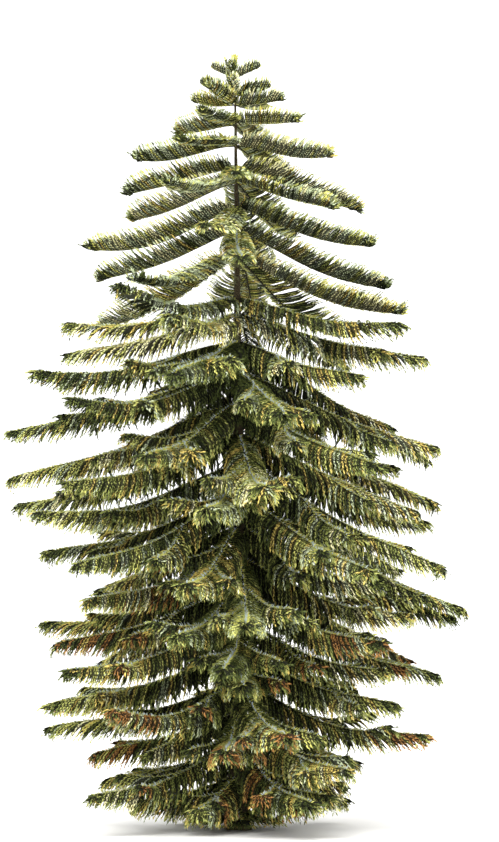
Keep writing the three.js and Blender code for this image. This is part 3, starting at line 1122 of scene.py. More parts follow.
@dataclass(frozen=True)
class Branchlet:
    """The branchlets that sprays are made of: a bowed core, dark with painted shade, with needles laid along
    both its faces.

    A branchlet runs along +X from its root, bowed towards +Z.

    Attributes:
        lengths: The lengths that are made. Each spray takes the nearest and is scaled to its own.
        rising: The habit of those that rise.
        hanging: The habit of those that hang.
        needle_length: A needle's length.
        needle_width: A needle's width at its broadest.
        needle_broadest: The share of its length where that is.
        needle_sizes: The least and most scale of a needle.
        needle_lean: The angle between a needle and the core, in degrees.
        needle_spread: How far needles lie to the sides of a face's middle, in degrees round the core.
        needle_fold: How far a needle's edges stand above its keel, as a share of its width.
        core_width: The core's full width, level with the frond.
        core_depth: Its full depth.
        core_corners: The angles of its three corners, in degrees.
        seed: The seed of the needles' lengths.
    """

    lengths: tuple[float, ...] = (0.1, 0.17, 0.26, 0.36, 0.45, 0.54)
    rising: Habit = Habit(
        bows=(-0.14, -0.08),
        spacing=0.0155,
        outline=((0, 0.75), (0.33, 1.1), (0.68, 1.1)),
        turn=2,
        roll=math.pi,
    )
    hanging: Habit = Habit(
        bows=(0.13, 0.2),
        spacing=0.019,
        outline=((0, 0.75), (0.62, 1.2)),
        turn=3,
        roll=0.0,
    )
    needle_length: float = 0.058
    needle_width: float = 0.018
    needle_broadest: float = 0.4
    needle_sizes: Span = (0.78, 1.14)
    needle_lean: float = 17
    needle_spread: float = 58
    needle_fold: float = 0.3
    core_width: float = 0.048
    core_depth: float = 0.012
    core_corners: tuple[float, ...] = (90, 210, 330)
    seed: int = 5

    ENTRIES: ClassVar[Entries] = (
        ("Length", "NodeSocketFloat"), ("Bow", "NodeSocketFloat"), ("Needles", "NodeSocketInt"),
        ("Lean", "NodeSocketFloat"), ("Spread", "NodeSocketFloat"), ("Roll", "NodeSocketFloat"),
        ("Turn", "NodeSocketInt"), ("Needle", "NodeSocketObject"), ("Seed", "NodeSocketInt"),
        ("Finish", "NodeSocketMaterial"),
    )

    def kinds(self) -> list[tuple[float, float, Habit]]:
        """List the length, bow and habit of each kind that is made: by length, and the rising ones first."""
        habits = (self.rising, self.hanging)
        return [(length, bow, habit) for length in self.lengths for habit in habits for bow in habit.bows]

    def core_mesh(self, name: str, length: float, bow: float, outline: Profile) -> bpy.types.Mesh:
        """Make the three-sided core of one kind.

        Args:
            name: The mesh's name.
            length: The branchlet's length.
            bow: Its bow.
            outline: The core's share of its full size along the length.

        Returns:
            The closed mesh.
        """
        t, size = np.array(outline).T
        middle = np.stack([length * t, np.zeros_like(t), 4 * bow * length * t * (1 - t)], -1)
        angles = np.radians(self.core_corners)
        half_width, half_depth = self.core_width / 2, self.core_depth / 2
        across = np.stack([np.zeros(3), half_width * np.cos(angles), half_depth * np.sin(angles)], -1)
        rings = middle[:, None] + size[:, None, None] * across[None]
        points = np.concatenate([rings.reshape(-1, 3), [(length, 0.0, 0.0)]])
        return mesh_of(name, points, loft_faces(len(t), len(angles)))

    def needle_mesh(self, name: str, length: float) -> bpy.types.Mesh:
        """Make one needle along +X: a kite of two triangles folded along its keel.

        Args:
            name: The mesh's name.
            length: The needle's length.

        Returns:
            The mesh.
        """
        half = self.needle_width / 2
        edge = self.needle_fold * self.needle_width
        broad = self.needle_broadest * length
        points = np.array(((0, 0, 0), (broad, -half, edge), (length, 0, edge), (broad, half, edge)))
        return mesh_of(name, points, [(0, 1, 2), (0, 2, 3)])

    def needle_graph(self) -> NodeGraph:
        """Build the tree that lays needles along the upper and lower faces of a bowed branchlet.

        Returns:
            The tree, with named inputs for the branchlet's sizes.
        """
        graph = NodeGraph("branchlet_needles", self.ENTRIES)
        source, calc = graph.source, graph.calc

        # Seats along the bowed line
        end = graph.add("ShaderNodeCombineXYZ", {"X": source["Length"]}).outputs["Vector"]
        line = graph.add("GeometryNodeCurvePrimitiveLine", {"End": end}).outputs["Curve"]
        links = {"Curve": line, "Count": source["Needles"]}
        fine = graph.add("GeometryNodeResampleCurve", links).outputs["Curve"]
        share = graph.add("GeometryNodeSplineParameter", {}).outputs["Factor"]
        arch = calc("MULTIPLY", share, calc("SUBTRACT", 1.0, share))
        height = calc("MULTIPLY", calc("MULTIPLY", source["Length"], source["Bow"]), 4.0)
        offset = graph.add("ShaderNodeCombineXYZ", {"Z": calc("MULTIPLY", arch, height)}).outputs["Vector"]
        bowed = graph.add("GeometryNodeSetPosition", {"Geometry": fine, "Offset": offset}).outputs["Geometry"]
        seats = graph.add("GeometryNodeCurveToPoints", {"Curve": bowed}, mode="EVALUATED")

        # Each needle's face, its place across the face and its lean
        links = {"Vector": seats.outputs["Tangent"]}
        ahead = graph.add("FunctionNodeAlignRotationToVector", links, axis="X").outputs["Rotation"]
        index = graph.add("GeometryNodeInputIndex", {}).outputs["Index"]
        side = calc("SUBTRACT", calc("FRACT", calc("MULTIPLY", index, GOLDEN_SHARE)), 0.5)
        fan = calc("MULTIPLY", calc("MULTIPLY", side, 2.0), source["Spread"])
        last_of_turn = calc("SUBTRACT", source["Turn"], 1.5)
        turned = calc("GREATER_THAN", calc("MODULO", index, source["Turn"]), last_of_turn)
        face = calc("ADD", source["Roll"], calc("MULTIPLY", turned, math.pi))
        rolled = graph.turn(ahead, (1.0, 0.0, 0.0), calc("ADD", fan, face))
        leaning = graph.turn(rolled, (0.0, 1.0, 0.0), calc("MULTIPLY", source["Lean"], -1.0))

        # The needles themselves
        links = {**dict(zip(RANDOM_ENDS, self.needle_sizes)), "Seed": source["Seed"]}
        size = graph.add("FunctionNodeRandomValue", links, data_type="FLOAT").outputs[RANDOM_NUMBER]
        needle = graph.add("GeometryNodeObjectInfo", {"Object": source["Needle"]}).outputs["Geometry"]
        links = {"Points": seats.outputs["Points"], "Instance": needle, "Rotation": leaning, "Scale": size}
        graph.close(graph.add("GeometryNodeInstanceOnPoints", links).outputs["Instances"])
        return graph

    def make(self, finish: bpy.types.Material) -> tuple[bpy.types.Collection, bpy.types.Collection]:
        """Make every kind of core and of needle spiral.

        Args:
            finish: The finish that they carry until sprays get their own.

        Returns:
            The collection of cores and the collection of needle spirals, in the order of kinds().
        """
        cores = bpy.data.collections.new("branchlet_cores")
        spirals = bpy.data.collections.new("branchlet_spirals")
        graph = self.needle_graph()
        needle = bpy.data.objects.new("needle", self.needle_mesh("needle", self.needle_length))
        host = new_object("branchlet_host", bpy.data.meshes.new("branchlet_host"))
        for number, (length, bow, habit) in enumerate(self.kinds()):
            core = self.core_mesh(f"core_{number:02d}", length, bow, habit.outline)
            cores.objects.link(bpy.data.objects.new(core.name, core))
            spiral = graph.run(host, f"spiral_{number:02d}", {
                "Length": length,
                "Bow": bow,
                "Needles": round(length / habit.spacing),
                "Lean": math.radians(self.needle_lean),
                "Spread": math.radians(self.needle_spread),
                "Roll": habit.roll,
                "Turn": habit.turn,
                "Needle": needle,
                "Seed": self.seed + number,
                "Finish": finish,
            })
            spirals.objects.link(bpy.data.objects.new(spiral.name, spiral))
        bpy.data.objects.remove(host)
        bpy.data.objects.remove(needle)
        return cores, spirals


@dataclass
class Sprays:
    """Where sprays stand: one row for each, with the turn, size and kind that it takes.

    Attributes:
        roots: The points that they stand on.
        turns: Their turns, as angles about X, Y and Z.
        sizes: Their scales.
        kinds: The kind that each is a copy of.
    """

    roots: np.ndarray
    turns: np.ndarray
    sizes: np.ndarray
    kinds: np.ndarray

    @classmethod
    def aimed(
        cls, roots: np.ndarray, ahead: np.ndarray, above: np.ndarray, sizes: np.ndarray, kinds: np.ndarray
    ) -> "Sprays":
        """Stand sprays so that they run one way and bow another.

        Args:
            roots: The points that they stand on.
            ahead: The unit direction that each runs in.
            above: A direction that each bows towards.
            sizes: Their scales.
            kinds: The kind that each is a copy of.

        Returns:
            The sprays.
        """
        aside = unit(np.cross(above, ahead))
        top = np.cross(ahead, aside)
        about_x = np.arctan2(aside[:, 2], top[:, 2])
        about_y = -np.arcsin(np.clip(ahead[:, 2], -1, 1))
        about_z = np.arctan2(ahead[:, 1], ahead[:, 0])
        return cls(roots, np.stack([about_x, about_y, about_z], -1), sizes, kinds)

    def __len__(self) -> int:
        """Count the sprays."""
        return len(self.roots)

    def pick(self, chosen: np.ndarray) -> "Sprays":
        """Take some of the sprays, by mask or by number."""
        return Sprays(self.roots[chosen], self.turns[chosen], self.sizes[chosen], self.kinds[chosen])

    def host(self) -> bpy.types.Object:
        """Lay the sprays out as a mesh of points that carries their turn, size and kind.

        Returns:
            The points as an object.
        """
        mesh = bpy.data.meshes.new("spray_seats")
        mesh.vertices.add(len(self))
        mesh.vertices.foreach_set("co", self.roots.astype(np.float32).ravel())
        marks = (
            ("FLOAT_VECTOR", "vector", self.turns.astype(np.float32)),
            ("FLOAT", "value", self.sizes.astype(np.float32)),
            ("INT", "value", self.kinds.astype(np.int32)),
        )
        for name, (kind, entry, values) in zip(SEAT_MARKS, marks):
            mesh.attributes.new(name, kind, "POINT").data.foreach_set(entry, values.ravel())
        return new_object("spray_seats", mesh)


class Scatter:
    """The geometry nodes that stand copies of a collection's shapes on points."""

    ENTRIES: Entries = (
        ("Seats", "NodeSocketGeometry"), ("Shapes", "NodeSocketCollection"), ("Finish", "NodeSocketMaterial"),
    )

    def __init__(self) -> None:
        """Build the tree once."""
        self.graph = NodeGraph("stand_sprays", self.ENTRIES)
        source, add = self.graph.source, self.graph.add
        links = {"Collection": source["Shapes"], "Separate Children": True, "Reset Children": True}
        shapes = add("GeometryNodeCollectionInfo", links).outputs["Instances"]
        turn = add("FunctionNodeEulerToRotation", {"Euler": self._mark("turn", "FLOAT_VECTOR")})
        links = {
            "Points": source["Seats"],
            "Instance": shapes,
            "Pick Instance": True,
            "Instance Index": self._mark("kind", "INT"),
            "Rotation": turn.outputs["Rotation"],
            "Scale": self._mark("size", "FLOAT"),
        }
        self.graph.close(add("GeometryNodeInstanceOnPoints", links).outputs["Instances"])

    def _mark(self, name: str, kind: str) -> bpy.types.NodeSocket:
        """Read one of the seats' marks."""
        reader = self.graph.add("GeometryNodeInputNamedAttribute", {"Name": name}, data_type=kind)
        return reader.outputs["Attribute"]

    def stand(
        self, name: str, sprays: Sprays, shapes: bpy.types.Collection, finish: bpy.types.Material
    ) -> list[bpy.types.Object]:
        """Stand sprays as joined meshes, as many as keep each under the most triangles.

        Args:
            name: The pieces' name, which gets a number.
            sprays: Where they stand.
            shapes: The shapes that they are copies of.
            finish: Their finish.

        Returns:
            The pieces.
        """
        faces = np.array([len(shape.data.loop_triangles) for shape in self._counted(shapes)])
        parts = max(1, math.ceil(faces[sprays.kinds].sum() / MOST_TRIANGLES))
        pieces = []
        for number in range(parts):
            host = sprays.pick(np.arange(number, len(sprays), parts)).host()
            label = f"{name}_{number + 1}"
            mesh = self.graph.run(host, label, {"Shapes": shapes, "Finish": finish})
            bpy.data.objects.remove(host)
            pieces.append(new_object(label, mesh))
        return pieces

    @staticmethod
    def _counted(shapes: bpy.types.Collection) -> list[bpy.types.Object]:
        """Count the triangles of a collection's shapes.

        Args:
            shapes: The collection.

        Returns:
            Its shapes, in the order of their names.
        """
        found = sorted(shapes.objects, key=lambda shape: shape.name)
        for shape in found:
            shape.data.calc_loop_triangles()
        return found


class Shoots(NamedTuple):
    """Branchlets as they grow, one in each row.

    Attributes:
        roots: The points that they leave their bough at.
        tips: The points that they end at.
        faces: The directions that their upper faces look in.
        t: The share of the bough's reach at each.
    """

    roots: np.ndarray
    tips: np.ndarray
    faces: np.ndarray
    t: np.ndarray

    @classmethod
    def joined(cls, groups: list["Shoots"]) -> "Shoots":
        """Join groups of branchlets into one."""
        return cls(*(np.concatenate(column) for column in zip(*groups)))


@dataclass(frozen=True)
class Tinting:
    """The rule that deals out the tints of a bough's sprays.

    Attributes:
        mood_share: How much a bough's own mood sways them.
        rusty_boughs: The share of the low boughs whose ends are rusty.
        rusty_below: The share of the tree's height above which none are.
        rusty_from: The share of a bough's reach where the rust starts.
        rust_patches: The middles of the further patches of rusty sprays.
        rust_radius: How far a patch reaches.
        rust_share: How many of the sprays there are rusty.
    """

    mood_share: float = 0.5
    rusty_boughs: float = 0.3
    rusty_below: float = 0.38
    rusty_from: float = 0.66
    rust_patches: tuple[tuple[float, float, float], ...] = (
        (-1.0, -1.0, 3.1), (0.8, -1.2, 1.8), (0.1, -1.6, 0.8), (0.15, -0.9, 0.35),
    )
    rust_radius: float = 0.42
    rust_share: float = 0.5

    def deal(
        self, bough: Bough, shoots: Shoots, shade: np.ndarray, cast: np.ndarray, random: np.random.Generator
    ) -> np.ndarray:
        """Deal out tints by draw, from the darkest to the lightest, then turn some sprays to rust.

        Args:
            bough: The bough.
            shoots: Its sprays.
            shade: How much painted shade darkens each of them for its place.
            cast: The bough's own draws from 0 to 1: from dark to light, from cool to warm, and for rust.
            random: The source of what varies.

        Returns:
            The number of each spray's tint.
        """
        mood, warmth, rust = cast
        finishes = NEEDLE_FINISHES.values()
        shares = np.array([float(along(finish.dealt, bough.height)) for finish in finishes])
        shares *= np.array([1 + finish.warmth * (2 * warmth - 1) for finish in finishes])
        bounds = np.cumsum(shares) / shares.sum()
        draws = random.random(len(shade)) + self.mood_share * (mood - 0.5) - shade
        tints = (np.clip(draws, 0, 1)[:, None] > bounds[None]).sum(1)
        has_rusty_end = bough.height < self.rusty_below and rust < self.rusty_boughs
        may_rust = (has_rusty_end & (shoots.t > self.rusty_from)) | self._in_patch(shoots)
        tints[may_rust & (random.random(len(tints)) < self.rust_share)] = TINT_NUMBERS[Tint.RUST]
        return tints

    def _in_patch(self, shoots: Shoots) -> np.ndarray:
        """Find the sprays whose middles lie in a patch of rust.

        Args:
            shoots: The sprays.

        Returns:
            Whether each of them does.
        """
        middles = (shoots.roots + shoots.tips) / 2
        away = np.linalg.norm(middles[:, None] - np.array(self.rust_patches)[None], axis=2).min(1)
        return away < self.rust_radius


class Greenery:
    """Pieces of branchlets and needles, which together stand for the solid whorls."""

    @staticmethod
    def dress(pieces: list[bpy.types.Object]) -> None:
        """Give the pieces their place in the frame.

        Args:
            pieces: The pieces.
        """
        whorls = sorted(name for name in frame["nodes"] if name.startswith(WHORL_PREFIX))
        for piece in pieces:
            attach(piece, BODY)
            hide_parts(*whorls)


@dataclass(frozen=True)
class Foliage(Greenery):
    """The needled branchlets that carry the boughs on, within the solids' reach.

    Each profile gives a value against the share of the tree's height, or of a bough's reach where it says so.
    Angles are in degrees.

    Attributes:
        boughs: The boughs that carry them.
        branchlet: The sizes of the branchlets that sprays are copies of.
        tinting: The rule that deals out their tints.
        length: A branchlet's length.
        length_along: Its share of that along a bough's reach.
        length_jitter: How much their lengths vary.
        length_swing: The least and most of that.
        pitch: The angle at which the two ranks stand above the bough's own plane.
        pitch_jitter: How much their pitch varies.
        front_drop: How much of their pitch the ranks lose on a high bough that runs straight to the front.
        front_trim: How much shorter its branchlets are.
        front_shade: How much painted shade darkens their tints.
        front_power: How fast all three ease off to the sides.
        sweep_at_trunk: The angle between a branchlet and its bough, at the root.
        sweep_at_tip: The same at the tip.
        sweep_jitter: How much their sweep varies.
        spacing: The length between branchlets on one side of a bough.
        stagger: How far the left ones are ahead of the middle of their steps, and the right ones behind it.
        place_jitter: How far they stray from there, in steps too.
        bare_length: The stretch of each bough next to the trunk that carries none.
        last_place: The share of a bough's reach where the last ones leave.
        least_rank: The fewest on one side of a bough.
        hang_below: The rise, as a share of the length, below which a branchlet takes the hanging habit.
        ground_gap: The least height of their tips.
        inner_length: The length of the old branchlets that hang close to the trunk, dark with painted shade.
        inner_taper: How much shorter they are at the end of their row.
        inner_sizes: The least and most of their scale.
        inner_lean: How far they lean from straight down, as a slope.
        inner_spacing: The length between those along a bough.
        inner_end: The share of a bough's reach where they end.
        inner_below: The share of the tree's height above which there are none.
        inner_shade: How much painted shade darkens the tints of all the sprays next to the trunk.
        least_inner: The fewest on a bough.
        fan_below: The share of the tree's height below which fronds end in a fan.
        fan_count: How many branchlets a fan has.
        fan_from: The share of a bough's reach where its fan starts.
        fan_share: How long they are next to the bough's longest.
        fan_sizes: The least and most of their scale.
        fan_spread: How far to each side they turn from the middle of the fan.
        fan_lean: The least and most angle between them and the bough.
        fan_shade: How much painted shade darkens their tints next to the rest of the bough's.
        seed: The seed of everything that varies.
    """

    boughs: list[Bough]
    branchlet: Branchlet = Branchlet()
    tinting: Tinting = Tinting()

    # The two ranks of branchlets on each bough
    length: Profile = ((0, 0.44), (0.56, 0.44), (0.7, 0.42), (0.8, 0.36), (0.9, 0.3), (0.95, 0.2), (1, 0.12))
    length_along: Profile = (
        (0, 0.5), (0.1, 0.75), (0.3, 1), (0.67, 0.97), (0.83, 0.8), (0.93, 0.54), (1, 0.24),
    )
    length_jitter: Profile = ((0, 0.07), (0.66, 0.07), (0.73, 0.03), (1, 0.03))
    length_swing: Span = (-1, 0.6)
    pitch: Profile = ((0, -48), (0.66, -44), (0.688, -30), (0.712, 26), (0.75, 40), (0.8, 46), (1, 52))
    pitch_jitter: Profile = ((0, 8), (0.64, 8), (0.685, 12), (0.715, 12), (0.75, 4), (1, 4))
    front_drop: Profile = ((0, 1.4), (0.9, 1.4), (0.93, 0.4), (0.95, 0))
    front_trim: float = 0.4
    front_shade: float = 0.3
    front_power: float = 4
    sweep_at_trunk: Profile = ((0, 58), (0.66, 58), (0.73, 76), (1, 76))
    sweep_at_tip: Profile = ((0, 40), (0.66, 40), (0.73, 54), (1, 54))
    sweep_jitter: float = 3
    spacing: Profile = ((0, 0.046), (0.66, 0.046), (0.73, 0.034), (1, 0.031))
    stagger: float = 0.25
    place_jitter: float = 0.2
    bare_length: float = 0.05
    last_place: float = 0.995
    least_rank: int = 3
    hang_below: float = 0.2
    ground_gap: float = 0.08

    # Old branchlets that hang close to the trunk, dark with painted shade
    inner_length: float = 0.54
    inner_taper: float = 0.35
    inner_sizes: Span = (0.7, 1.1)
    inner_lean: float = 0.7
    inner_spacing: float = 0.12
    inner_end: float = 0.65
    inner_below: float = 0.64
    inner_shade: float = 0.6
    least_inner: int = 2

    # Fans at the fronds' ends
    fan_below: float = 0.95
    fan_count: int = 13
    fan_from: float = 0.92
    fan_share: float = 0.42
    fan_sizes: Span = (0.8, 1.1)
    fan_spread: float = 85
    fan_lean: Span = (38, 70)
    fan_shade: float = 0.42

    seed: int = 11

    def _branchlets(self) -> tuple[Sprays, np.ndarray]:
        """Grow every branchlet.

        Returns:
            The branchlets, and the number of the tint of each, in the order of NEEDLE_FINISHES.
        """
        random = np.random.default_rng(self.seed)
        fronds, tints = zip(*(self._frond(bough, random) for bough in self.boughs))
        shoots = Shoots.joined(list(fronds))
        chords = shoots.tips - shoots.roots
        lengths = np.linalg.norm(chords, axis=1)
        made = np.array(self.branchlet.lengths)
        nearest = np.abs(lengths[:, None] - made[None]).argmin(1)
        hangs = chords[:, 2] < self.hang_below * lengths
        bows_more = random.random(len(lengths)) < 0.5
        rising, hanging = len(self.branchlet.rising.bows), len(self.branchlet.hanging.bows)
        kinds = nearest * (rising + hanging) + rising * hangs + bows_more
        sprays = Sprays.aimed(shoots.roots, unit(chords), shoots.faces, lengths / made[nearest], kinds)
        return sprays, np.concatenate(tints)

    def _frond(self, bough: Bough, random: np.random.Generator) -> tuple[Shoots, np.ndarray]:
        """Grow the branchlets of one bough: a rank on each side, a fan, and old ones close to the trunk in
        painted shade.

        Args:
            bough: The bough.
            random: The source of what varies.

        Returns:
            The branchlets and the number of the tint of each.
        """
        cast = random.random(3)
        groups = [self._rank(bough, side, random) for side in (-1, 1)]
        if bough.height < self.fan_below:
            groups.append(self._fan(bough, random))
        shoots = Shoots.joined(groups)
        tints = self.tinting.deal(bough, shoots, self._shade(bough, shoots.t), cast, random)
        if bough.height < self.inner_below and not bough.is_twig:
            inner = self._inner(bough, random)
            shoots = Shoots.joined([shoots, inner])
            # The inner branchlets all take the SHADE tint: painted shade in the crown's hollow.
            tints = np.concatenate([tints, np.full(len(inner.t), TINT_NUMBERS[Tint.SHADE])])
        shoots.tips[:, 2] = np.maximum(shoots.tips[:, 2], self.ground_gap)
        return shoots, tints

    def _rank(self, bough: Bough, side: int, random: np.random.Generator) -> Shoots:
        """Grow the branchlets on one side of one bough.

        Args:
            bough: The bough.
            side: 1 for its left side and -1 for its right.
            random: The source of what varies.

        Returns:
            The branchlets.
        """
        spacing = float(along(self.spacing, bough.height)) / bough.fullness
        count = max(self.least_rank, round((bough.reach - self.bare_length) / spacing))
        stray = random.uniform(-self.place_jitter, self.place_jitter, count)
        steps = (np.arange(count) + 0.5 + self.stagger * side + stray) / count
        bare = self.bare_length / bough.reach
        t = np.clip(bare + (1 - bare) * steps, bare, self.last_place)
        forward, left, up = bough.axes(t)
        at_trunk, at_tip = along(self.sweep_at_trunk, bough.height), along(self.sweep_at_tip, bough.height)
        sweep = (1 - t) * at_trunk + t * at_tip
        sweep = np.radians(sweep + self.sweep_jitter * random.uniform(-1, 1, count))[:, None]
        wander = along(self.pitch_jitter, bough.height) * random.uniform(-1, 1, count)
        pitch = np.radians(self._pitch(bough) + wander)[:, None]
        vary = along(self.length_jitter, bough.height) * random.uniform(*self.length_swing, count)
        reach = (self._length(bough) * along(self.length_along, t) * (1 + vary))[:, None]
        across = side * np.cos(pitch) * left + np.sin(pitch) * up
        faces = np.cos(pitch) * up - side * np.sin(pitch) * left
        roots = bough.point(t)
        return Shoots(roots, roots + reach * (np.cos(sweep) * forward + np.sin(sweep) * across), faces, t)

    def _rises(self, bough: Bough) -> bool:
        """Tell whether the ranks of boughs at one bough's height stand up."""
        return along(self.pitch, bough.height) > 0

    def _to_front(self, bough: Bough) -> float:
        """Give how nearly a bough whose ranks stand up runs straight to the front, from 0 to 1."""
        return max(0.0, -math.sin(bough.azimuth)) ** self.front_power if self._rises(bough) else 0.0

    def _pitch(self, bough: Bough) -> float:
        """Give the pitch of one bough's ranks. High ones that rise elsewhere hang at the front."""
        drop = float(along(self.front_drop, bough.height)) * self._to_front(bough)
        return float(along(self.pitch, bough.height)) * (1 - drop)

    def _length(self, bough: Bough) -> float:
        """Give the length of one bough's longest branchlets."""
        trim = self.front_trim * self._to_front(bough)
        return float(along(self.length, bough.height)) * bough.fullness * (1 - trim)

    def _fan(self, bough: Bough, random: np.random.Generator) -> Shoots:
        """Grow the fan of branchlets that closes the end of one frond, on the side that its ranks stand on.

        Args:
            bough: The bough.
            random: The source of what varies.

        Returns:
            The branchlets.
        """
        count = round(self.fan_count * bough.fullness**2)
        t = random.uniform(self.fan_from, self.last_place, count)
        forward, left, up = bough.axes(t)
        turn = np.radians(self.fan_spread * np.linspace(-1, 1, count))[:, None]
        lean = np.radians(random.uniform(*self.fan_lean, count))[:, None]
        rise = math.copysign(1.0, self._pitch(bough))
        aside = np.sin(turn) * left + rise * np.cos(turn) * up
        reach = self.fan_share * self._length(bough) * random.uniform(*self.fan_sizes, (count, 1))
        roots = bough.point(t)
        tips = roots + reach * (np.cos(lean) * forward + np.sin(lean) * aside)
        return Shoots(roots, tips, np.sin(lean) * forward - np.cos(lean) * aside, t)

    def _inner(self, bough: Bough, random: np.random.Generator) -> Shoots:
        """Hang the old branchlets, dark with painted shade, under the inner part of one bough.

        Args:
            bough: The bough.
            random: The source of what varies.

        Returns:
            The branchlets.
        """
        count = max(self.least_inner, round(self.inner_end * bough.reach / self.inner_spacing))
        t = self.inner_end * (np.arange(count) + random.random(count)) / count
        forward, left, _ = bough.axes(t)
        lean = random.uniform(-self.inner_lean, self.inner_lean, (count, 2))
        ahead = unit(lean[:, :1] * forward + lean[:, 1:] * left - UP)
        roots = bough.point(t)
        taper = 1 - self.inner_taper * t / self.inner_end
        reach = self.inner_length * taper * random.uniform(*self.inner_sizes, count)
        return Shoots(roots, roots + reach[:, None] * ahead, left, t)

    def _shade(self, bough: Bough, t: np.ndarray) -> np.ndarray:
        """Find the painted shade on the tints of one bough's sprays: how much darker they are for their
        places.

        Args:
            bough: The bough.
            t: The share of its reach at each spray.

        Returns:
            How far down each tint is drawn.
        """
        shade = self.fan_shade * (t > self.fan_from) + self.front_shade * self._to_front(bough)
        if bough.height < self.inner_below:
            from_trunk = bough.start + (1 - bough.start) * t
            shade += self.inner_shade * np.clip(1 - from_trunk / self.inner_end, 0, 1)
        return shade

    def build(self, scatter: Scatter, finishes: dict[Tint, bpy.types.Material]) -> list[bpy.types.Object]:
        """Build every spray as joined meshes, with cores and needles of each tint apart.

        Args:
            scatter: The nodes that stand them.
            finishes: The needles' finish in each tint.

        Returns:
            The pieces.
        """
        cores, spirals = self.branchlet.make(finishes[Tint.OLIVE])
        sprays, tints = self._branchlets()
        pieces: list[bpy.types.Object] = []
        for tint, finish in NEEDLE_FINISHES.items():
            chosen = sprays.pick(tints == TINT_NUMBERS[tint])
            if len(chosen):
                # The cores take each tint darkened: painted shade between the needles.
                shaded_core_finish = finish.core().material(f"branchlets_{tint.value}")
                pieces += scatter.stand(f"branchlets_{tint.value}", chosen, cores, shaded_core_finish)
                pieces += scatter.stand(f"needles_{tint.value}", chosen, spirals, finishes[tint])
        clear(cores)
        clear(spirals)
        return pieces


class RidgeRow(NamedTuple):
    """One row of single needles along the boughs' ridges.

    Attributes:
        angle: Its angle from the top of the ridge, in degrees.
        jitter: How much that varies.
        tint: Its tint.
        below: The share of the tree's height above which boughs have none.
    """

    angle: float
    jitter: float
    tint: Tint
    below: float = 1.0


@dataclass(frozen=True)
class RidgeNeedles(Greenery):
    """The single needles along the boughs' ridges and round the leader at the trunk's tip.

    Angles are in degrees.

    Attributes:
        boughs: The boughs.
        stem: The trunk.
        branchlet: The branchlets, which give the needle its shape.
        rows: The rows of needles on each bough.
        needle_length: A needle's length.
        spacing: The length between the needles of a row.
        sizes: The least and most of their scale.
        lean: The least and most angle between them and the bough.
        first_place: The share of a bough's reach where the first one stands.
        least_row: The fewest in a row.
        leader_length: The length of the needled leader.
        leader_needles: How many needles it has.
        leader_sizes: The least and most of their scale.
        leader_lean: The least and most angle between them and the trunk.
        leader_root: How far from the trunk's middle they are rooted, as a share of its radius.
        leader_tint: Their tint.
        seed: The seed of everything that varies.
    """

    boughs: list[Bough]
    stem: Stem
    branchlet: Branchlet = Branchlet()
    # The middle row, on top of each ridge, is a pale blue painted highlight.
    rows: tuple[RidgeRow, ...] = (
        RidgeRow(-55, 20, Tint.OLIVE), RidgeRow(0, 35, Tint.FROST, below=0.8), RidgeRow(55, 20, Tint.LIME),
    )
    needle_length: float = 0.066
    spacing: float = 0.034
    sizes: Span = (0.7, 1.15)
    lean: Span = (35, 70)
    first_place: float = 0.02
    least_row: int = 4
    leader_length: float = 0.2
    leader_needles: int = 90
    leader_sizes: Span = (0.9, 1.5)
    leader_lean: Span = (25, 50)
    leader_root: float = 0.5
    leader_tint: Tint = Tint.LIME
    seed: int = 13

    def _row(self, row: RidgeRow, random: np.random.Generator) -> Sprays:
        """Set one row of needles along the ridge of every bough that has it.

        Args:
            row: The row.
            random: The source of what varies.

        Returns:
            The needles.
        """
        groups = []
        for bough in self.boughs:
            if bough.height > row.below:
                continue
            count = max(self.least_row, round(bough.reach / self.spacing))
            t = np.clip((np.arange(count) + random.random(count)) / count, self.first_place, 1)
            forward, left, up = bough.axes(t)
            lean = np.radians(random.uniform(*self.lean, count))[:, None]
            turn = np.radians(row.angle + row.jitter * random.uniform(-1, 1, count))[:, None]
            outward = np.cos(turn) * up + np.sin(turn) * left
            groups.append((bough.point(t), np.cos(lean) * forward + np.sin(lean) * outward, forward))
        roots, ahead, above = (np.concatenate(column) for column in zip(*groups))
        sizes = random.uniform(*self.sizes, len(roots))
        return Sprays.aimed(roots, ahead, above, sizes, np.zeros(len(roots), int))

    def _leader(self, random: np.random.Generator) -> Sprays:
        """Set needles in a spiral round the leader.

        Args:
            random: The source of what varies.

        Returns:
            The needles.
        """
        count = self.leader_needles
        z = self.stem.height - self.leader_length * (np.arange(count) + 0.5) / count
        turn = np.arange(count) * GOLDEN_ANGLE
        outward = np.stack([np.cos(turn), np.sin(turn), np.zeros(count)], -1)
        lean = np.radians(random.uniform(*self.leader_lean, count))[:, None]
        roots = self.stem.centre(z) + self.leader_root * self.stem.radius(z)[:, None] * outward
        sizes = random.uniform(*self.leader_sizes, count)
        ahead = np.cos(lean) * UP + np.sin(lean) * outward
        return Sprays.aimed(roots, ahead, outward, sizes, np.zeros(count, int))

    def build(self, scatter: Scatter, finishes: dict[Tint, bpy.types.Material]) -> list[bpy.types.Object]:
        """Build the needles as joined meshes, with each row and the leader apart.

        Args:
            scatter: The nodes that stand them.
            finishes: The needles' finish in each tint.

        Returns:
            The pieces.
        """
        needle = bpy.data.collections.new("ridge_needle")
        mesh = self.branchlet.needle_mesh("ridge_needle", self.needle_length)
        needle.objects.link(bpy.data.objects.new("ridge_needle", mesh))
        random = np.random.default_rng(self.seed)
        pieces: list[bpy.types.Object] = []
        for number, row in enumerate(self.rows):
            name = f"ridge_{number}_{row.tint.value}"
            pieces += scatter.stand(name, self._row(row, random), needle, finishes[row.tint])
        pieces += scatter.stand("leader_needles", self._leader(random), needle, finishes[self.leader_tint])
        clear(needle)
        return pieces


